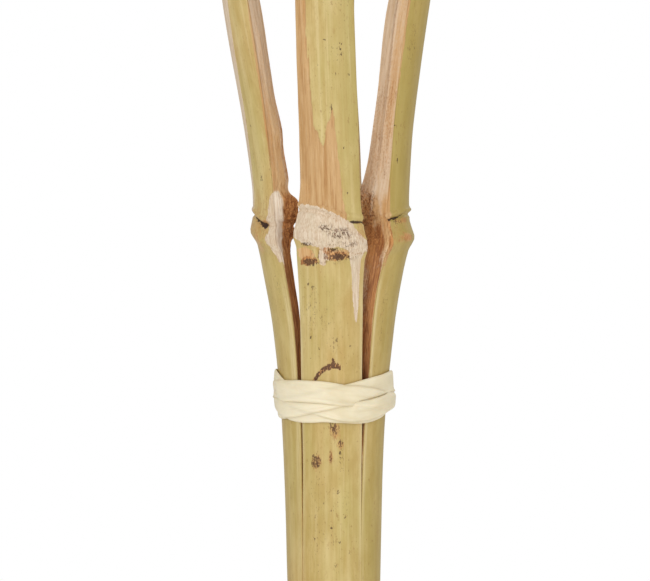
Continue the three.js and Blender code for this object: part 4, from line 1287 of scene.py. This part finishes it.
def turned_faces(on_axis, segments):
    """Faces of a turned profile. All points of a row on the axis count as that row's first one."""
    result = []
    for face in tube_faces(len(on_axis), segments, ring=True):
        corners = [v - v % segments if on_axis[v // segments] else v for v in face]
        corners = [v for v, after in zip(corners, corners[1:] + corners[:1]) if v != after]
        if len(corners) > 2:
            result.append(corners[::-1])
    return result


def make_turned(name, node, body, outline, base, material, relief=None, *, segments=128, radius=0.35,
                spacing=None):
    """A solid of revolution from a closed [radius, height] outline, with relief(r, z, angle) added outwards."""
    profile = rounded(outline, radius)
    if spacing:
        profile = divided(profile, spacing)
    angle = np.linspace(0, 360, segments, endpoint=False)
    r, z, angle = np.broadcast_arrays(profile[:, :1], profile[:, 1:], angle)
    if relief:
        r = r + relief(r, z, angle) * (r > 0.01)
    x, y = toward(angle)
    kind, marks = blank(r.shape)
    given = attributes(stack(r, z, 3 * x), kind, marks)
    faces = turned_faces(profile[:, 0] < 0.01, segments)
    piece = make_piece(name, stack(r * x, r * y, base + z), faces, material, given, crease=38)
    tidy_mesh(piece)
    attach(piece, body)
    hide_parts(node)


def can_relief(r, z, angle):
    beads = sum(-0.55 * bump(z - at, 1.6) for at in (12, 15.4, 60, 63.4)) * smooth(29.5, 30.5, r)
    seam = 0.35 * bump(angle - 200, 3.2) * smooth(2, 4, z) * (1 - smooth(73, 75, z))
    return smooth(30.2, 30.6, r) * (beads + seam)


def neck_thread(r, z, angle):
    on_neck = smooth(14.3, 14.5, r) * (r < 14.9) * smooth(1.6, 3, z) * (1 - smooth(10.6, 11.6, z))
    return 0.28 * np.sin(np.radians(angle) + z * 2 * np.pi / 3) * on_neck


def grip_ribs(r, z, angle):
    on_side = smooth(16.2, 16.5, r) * smooth(3.6, 4.6, z) * (1 - smooth(11.6, 12.6, z))
    return 0.22 * np.cos(np.radians(angle) * 60) * on_side


def tube_bead(r, z, angle):
    return 0.18 * bump(z - 27.5, 0.9) * (r > 6)


def snuffer_beads(r, z, angle):
    return 0.2 * (bump(z - 20.5, 0.8) + bump(z - 22.3, 0.8)) * (r > 11.8)


def braid(r, z, angle):
    left, right = np.radians(angle) * 5 + z * 1.15, np.radians(angle) * 5 - z * 1.15
    weave = np.maximum(np.cos(left), np.cos(right))
    return (0.3 * weave - 0.2 + 0.08 * noise(angle / 6, z * 2, 0, 9)) * smooth(3.2, 4.4, r)


def make_metalwork():
    tin = metal_material("tinplate", (198, 199, 197), (158, 160, 160), 0.24, 0.4)
    steel = metal_material("burner_steel", (178, 177, 173), (134, 132, 128), 0.26, 0.44)
    rivet_steel = metal_material("rivet_steel", (186, 184, 178), (140, 138, 132), 0.3, 0.45)
    can_foot, can_rim = (corner.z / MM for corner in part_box("fuel_can_body"))
    make_turned("can_body", "fuel_can_body", "fuel_can",
                [[0, 2], [25, 2], [27, 0], [30, 0], [31, 1], [31, 76], [30, 76], [30, 3], [0, 3]],
                can_foot, tin, can_relief, segments=180, spacing=0.8)
    make_turned("can_top", "fuel_can_top", "fuel_can",
                [[31.3, -2.6], [32.3, -2.6], [32.3, 1.6], [31.6, 2.2], [29.2, 2.2], [28.7, 1.6], [28.7, -1.2],
                 [18.5, -1.2], [14.6, 1.2], [14.6, 12], [13.6, 12], [13.6, 0.6], [18, -2.1], [29.7, -2.1],
                 [29.7, 0.4], [31.3, 0.4]],
                can_rim, tin, neck_thread, segments=180, spacing=0.5)
    make_turned("screw_cap", "burner_cap", "burner",
                [[15.3, 2.4], [16.4, 2.4], [16.7, 2.9], [16.7, 13.7], [16, 14.4], [6.7, 14.4], [6.7, 13.4],
                 [15.3, 13.4]],
                can_rim, steel, grip_ribs, segments=480, spacing=0.6)
    make_turned("gasket", "cap_gasket", "gasket",
                [[10, 12.3], [14.2, 12.3], [14.2, 13.1], [10, 13.1]], can_rim, gasket_material())
    make_turned("burner_tube", "wick_tube", "burner",
                [[5.2, -6], [6.4, -6], [6.4, 14.7], [13, 14.7], [13, 15.7], [7.2, 16.2], [6.4, 17], [6.4, 31],
                 [5.2, 31]],
                can_rim, steel, tube_bead, segments=96, spacing=0.5)
    make_turned("lock_ring", "tube_lock_ring", "burner",
                [[6.8, 11.9], [9.4, 11.9], [9.4, 13.1], [6.8, 13.1]], can_rim, steel)
    make_turned("cotton_wick", "wick", "wick",
                [[0, -62], [4.7, -62], [4.7, 35.2], [3.8, 36], [0, 36]],
                can_rim, wick_material(), braid, segments=80, radius=0.6, spacing=0.45)
    make_turned("snuffer_bell", "snuffer_cap", "snuffer",
                [[11.4, 16.2], [12.8, 16.2], [12.2, 17.6], [12.2, 41.2], [10.6, 46], [7, 48.2], [1.9, 48.2],
                 [1.9, 47.2], [6.6, 47.2], [9.8, 45.3], [11.2, 40.8]],
                can_rim, steel, snuffer_beads, radius=1.0, spacing=0.5)
    make_turned("rivet", "snuffer_rivet", "snuffer",
                [[0, 46.1], [2.6, 46.1], [3.2, 46.9], [1.5, 46.9], [1.5, 53.2], [0, 53.2]],
                can_rim, rivet_steel, segments=48)
    make_turned("knob", "snuffer_knob", "snuffer",
                [[1.8, 48.5], [3.6, 48.5], [2.8, 50.2], [4.4, 52.6], [4.4, 54.6], [2.8, 56.6], [0, 57], [0, 53.6],
                 [1.8, 53.6]],
                can_rim, rivet_steel, segments=72, radius=0.9)


def make_brad(side, material):
    node = "rim_brad_" + side
    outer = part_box("rim_hoop_outer")[1].x / MM
    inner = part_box("rim_hoop_inner")[1].x / MM
    profile = [[0, inner - 2.1], [0.6, inner - 2.1], [0.6, outer + 0.05]]
    profile += [[1.7 * math.cos(a), outer + 0.05 + 0.8 * math.sin(a)] for a in np.linspace(0, math.pi / 2, 7)]
    r, out = np.array(profile).T[:, :, None]
    angle = np.linspace(0, 2 * math.pi, 24, endpoint=False)
    x, y = around(SLATS[side]["facing"], out, r * np.cos(angle))
    rows = stack(x, y, NODE_Z + HOOP["middle"] + r * np.sin(angle))
    kind, marks = blank(rows.shape[:2])
    faces = tube_faces(len(profile), len(angle))
    piece = make_piece("brad_" + side, rows, faces, material, attributes(rows, kind, marks), crease=50)
    tidy_mesh(piece)
    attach(piece, "torch_pole")
    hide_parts(node)


# ---- Everything ------------------------------------------------------------
make_camera()
make_studio()
make_pole()
for side in SIDES:
    make_slat(side)
make_band(rubber_material())
for row in range(STRIP["rows"]):
    make_weaver(row)
for i in range(4):
    make_rib(i)
make_hoop("rim_hoop_outer", 24, 1)
make_hoop("rim_hoop_inner", 0, 2)
make_metalwork()
brad_steel = metal_material("brad_steel", (170, 168, 160), (120, 112, 100), 0.3, 0.5)
for side in SIDES:
    make_brad(side, brad_steel)
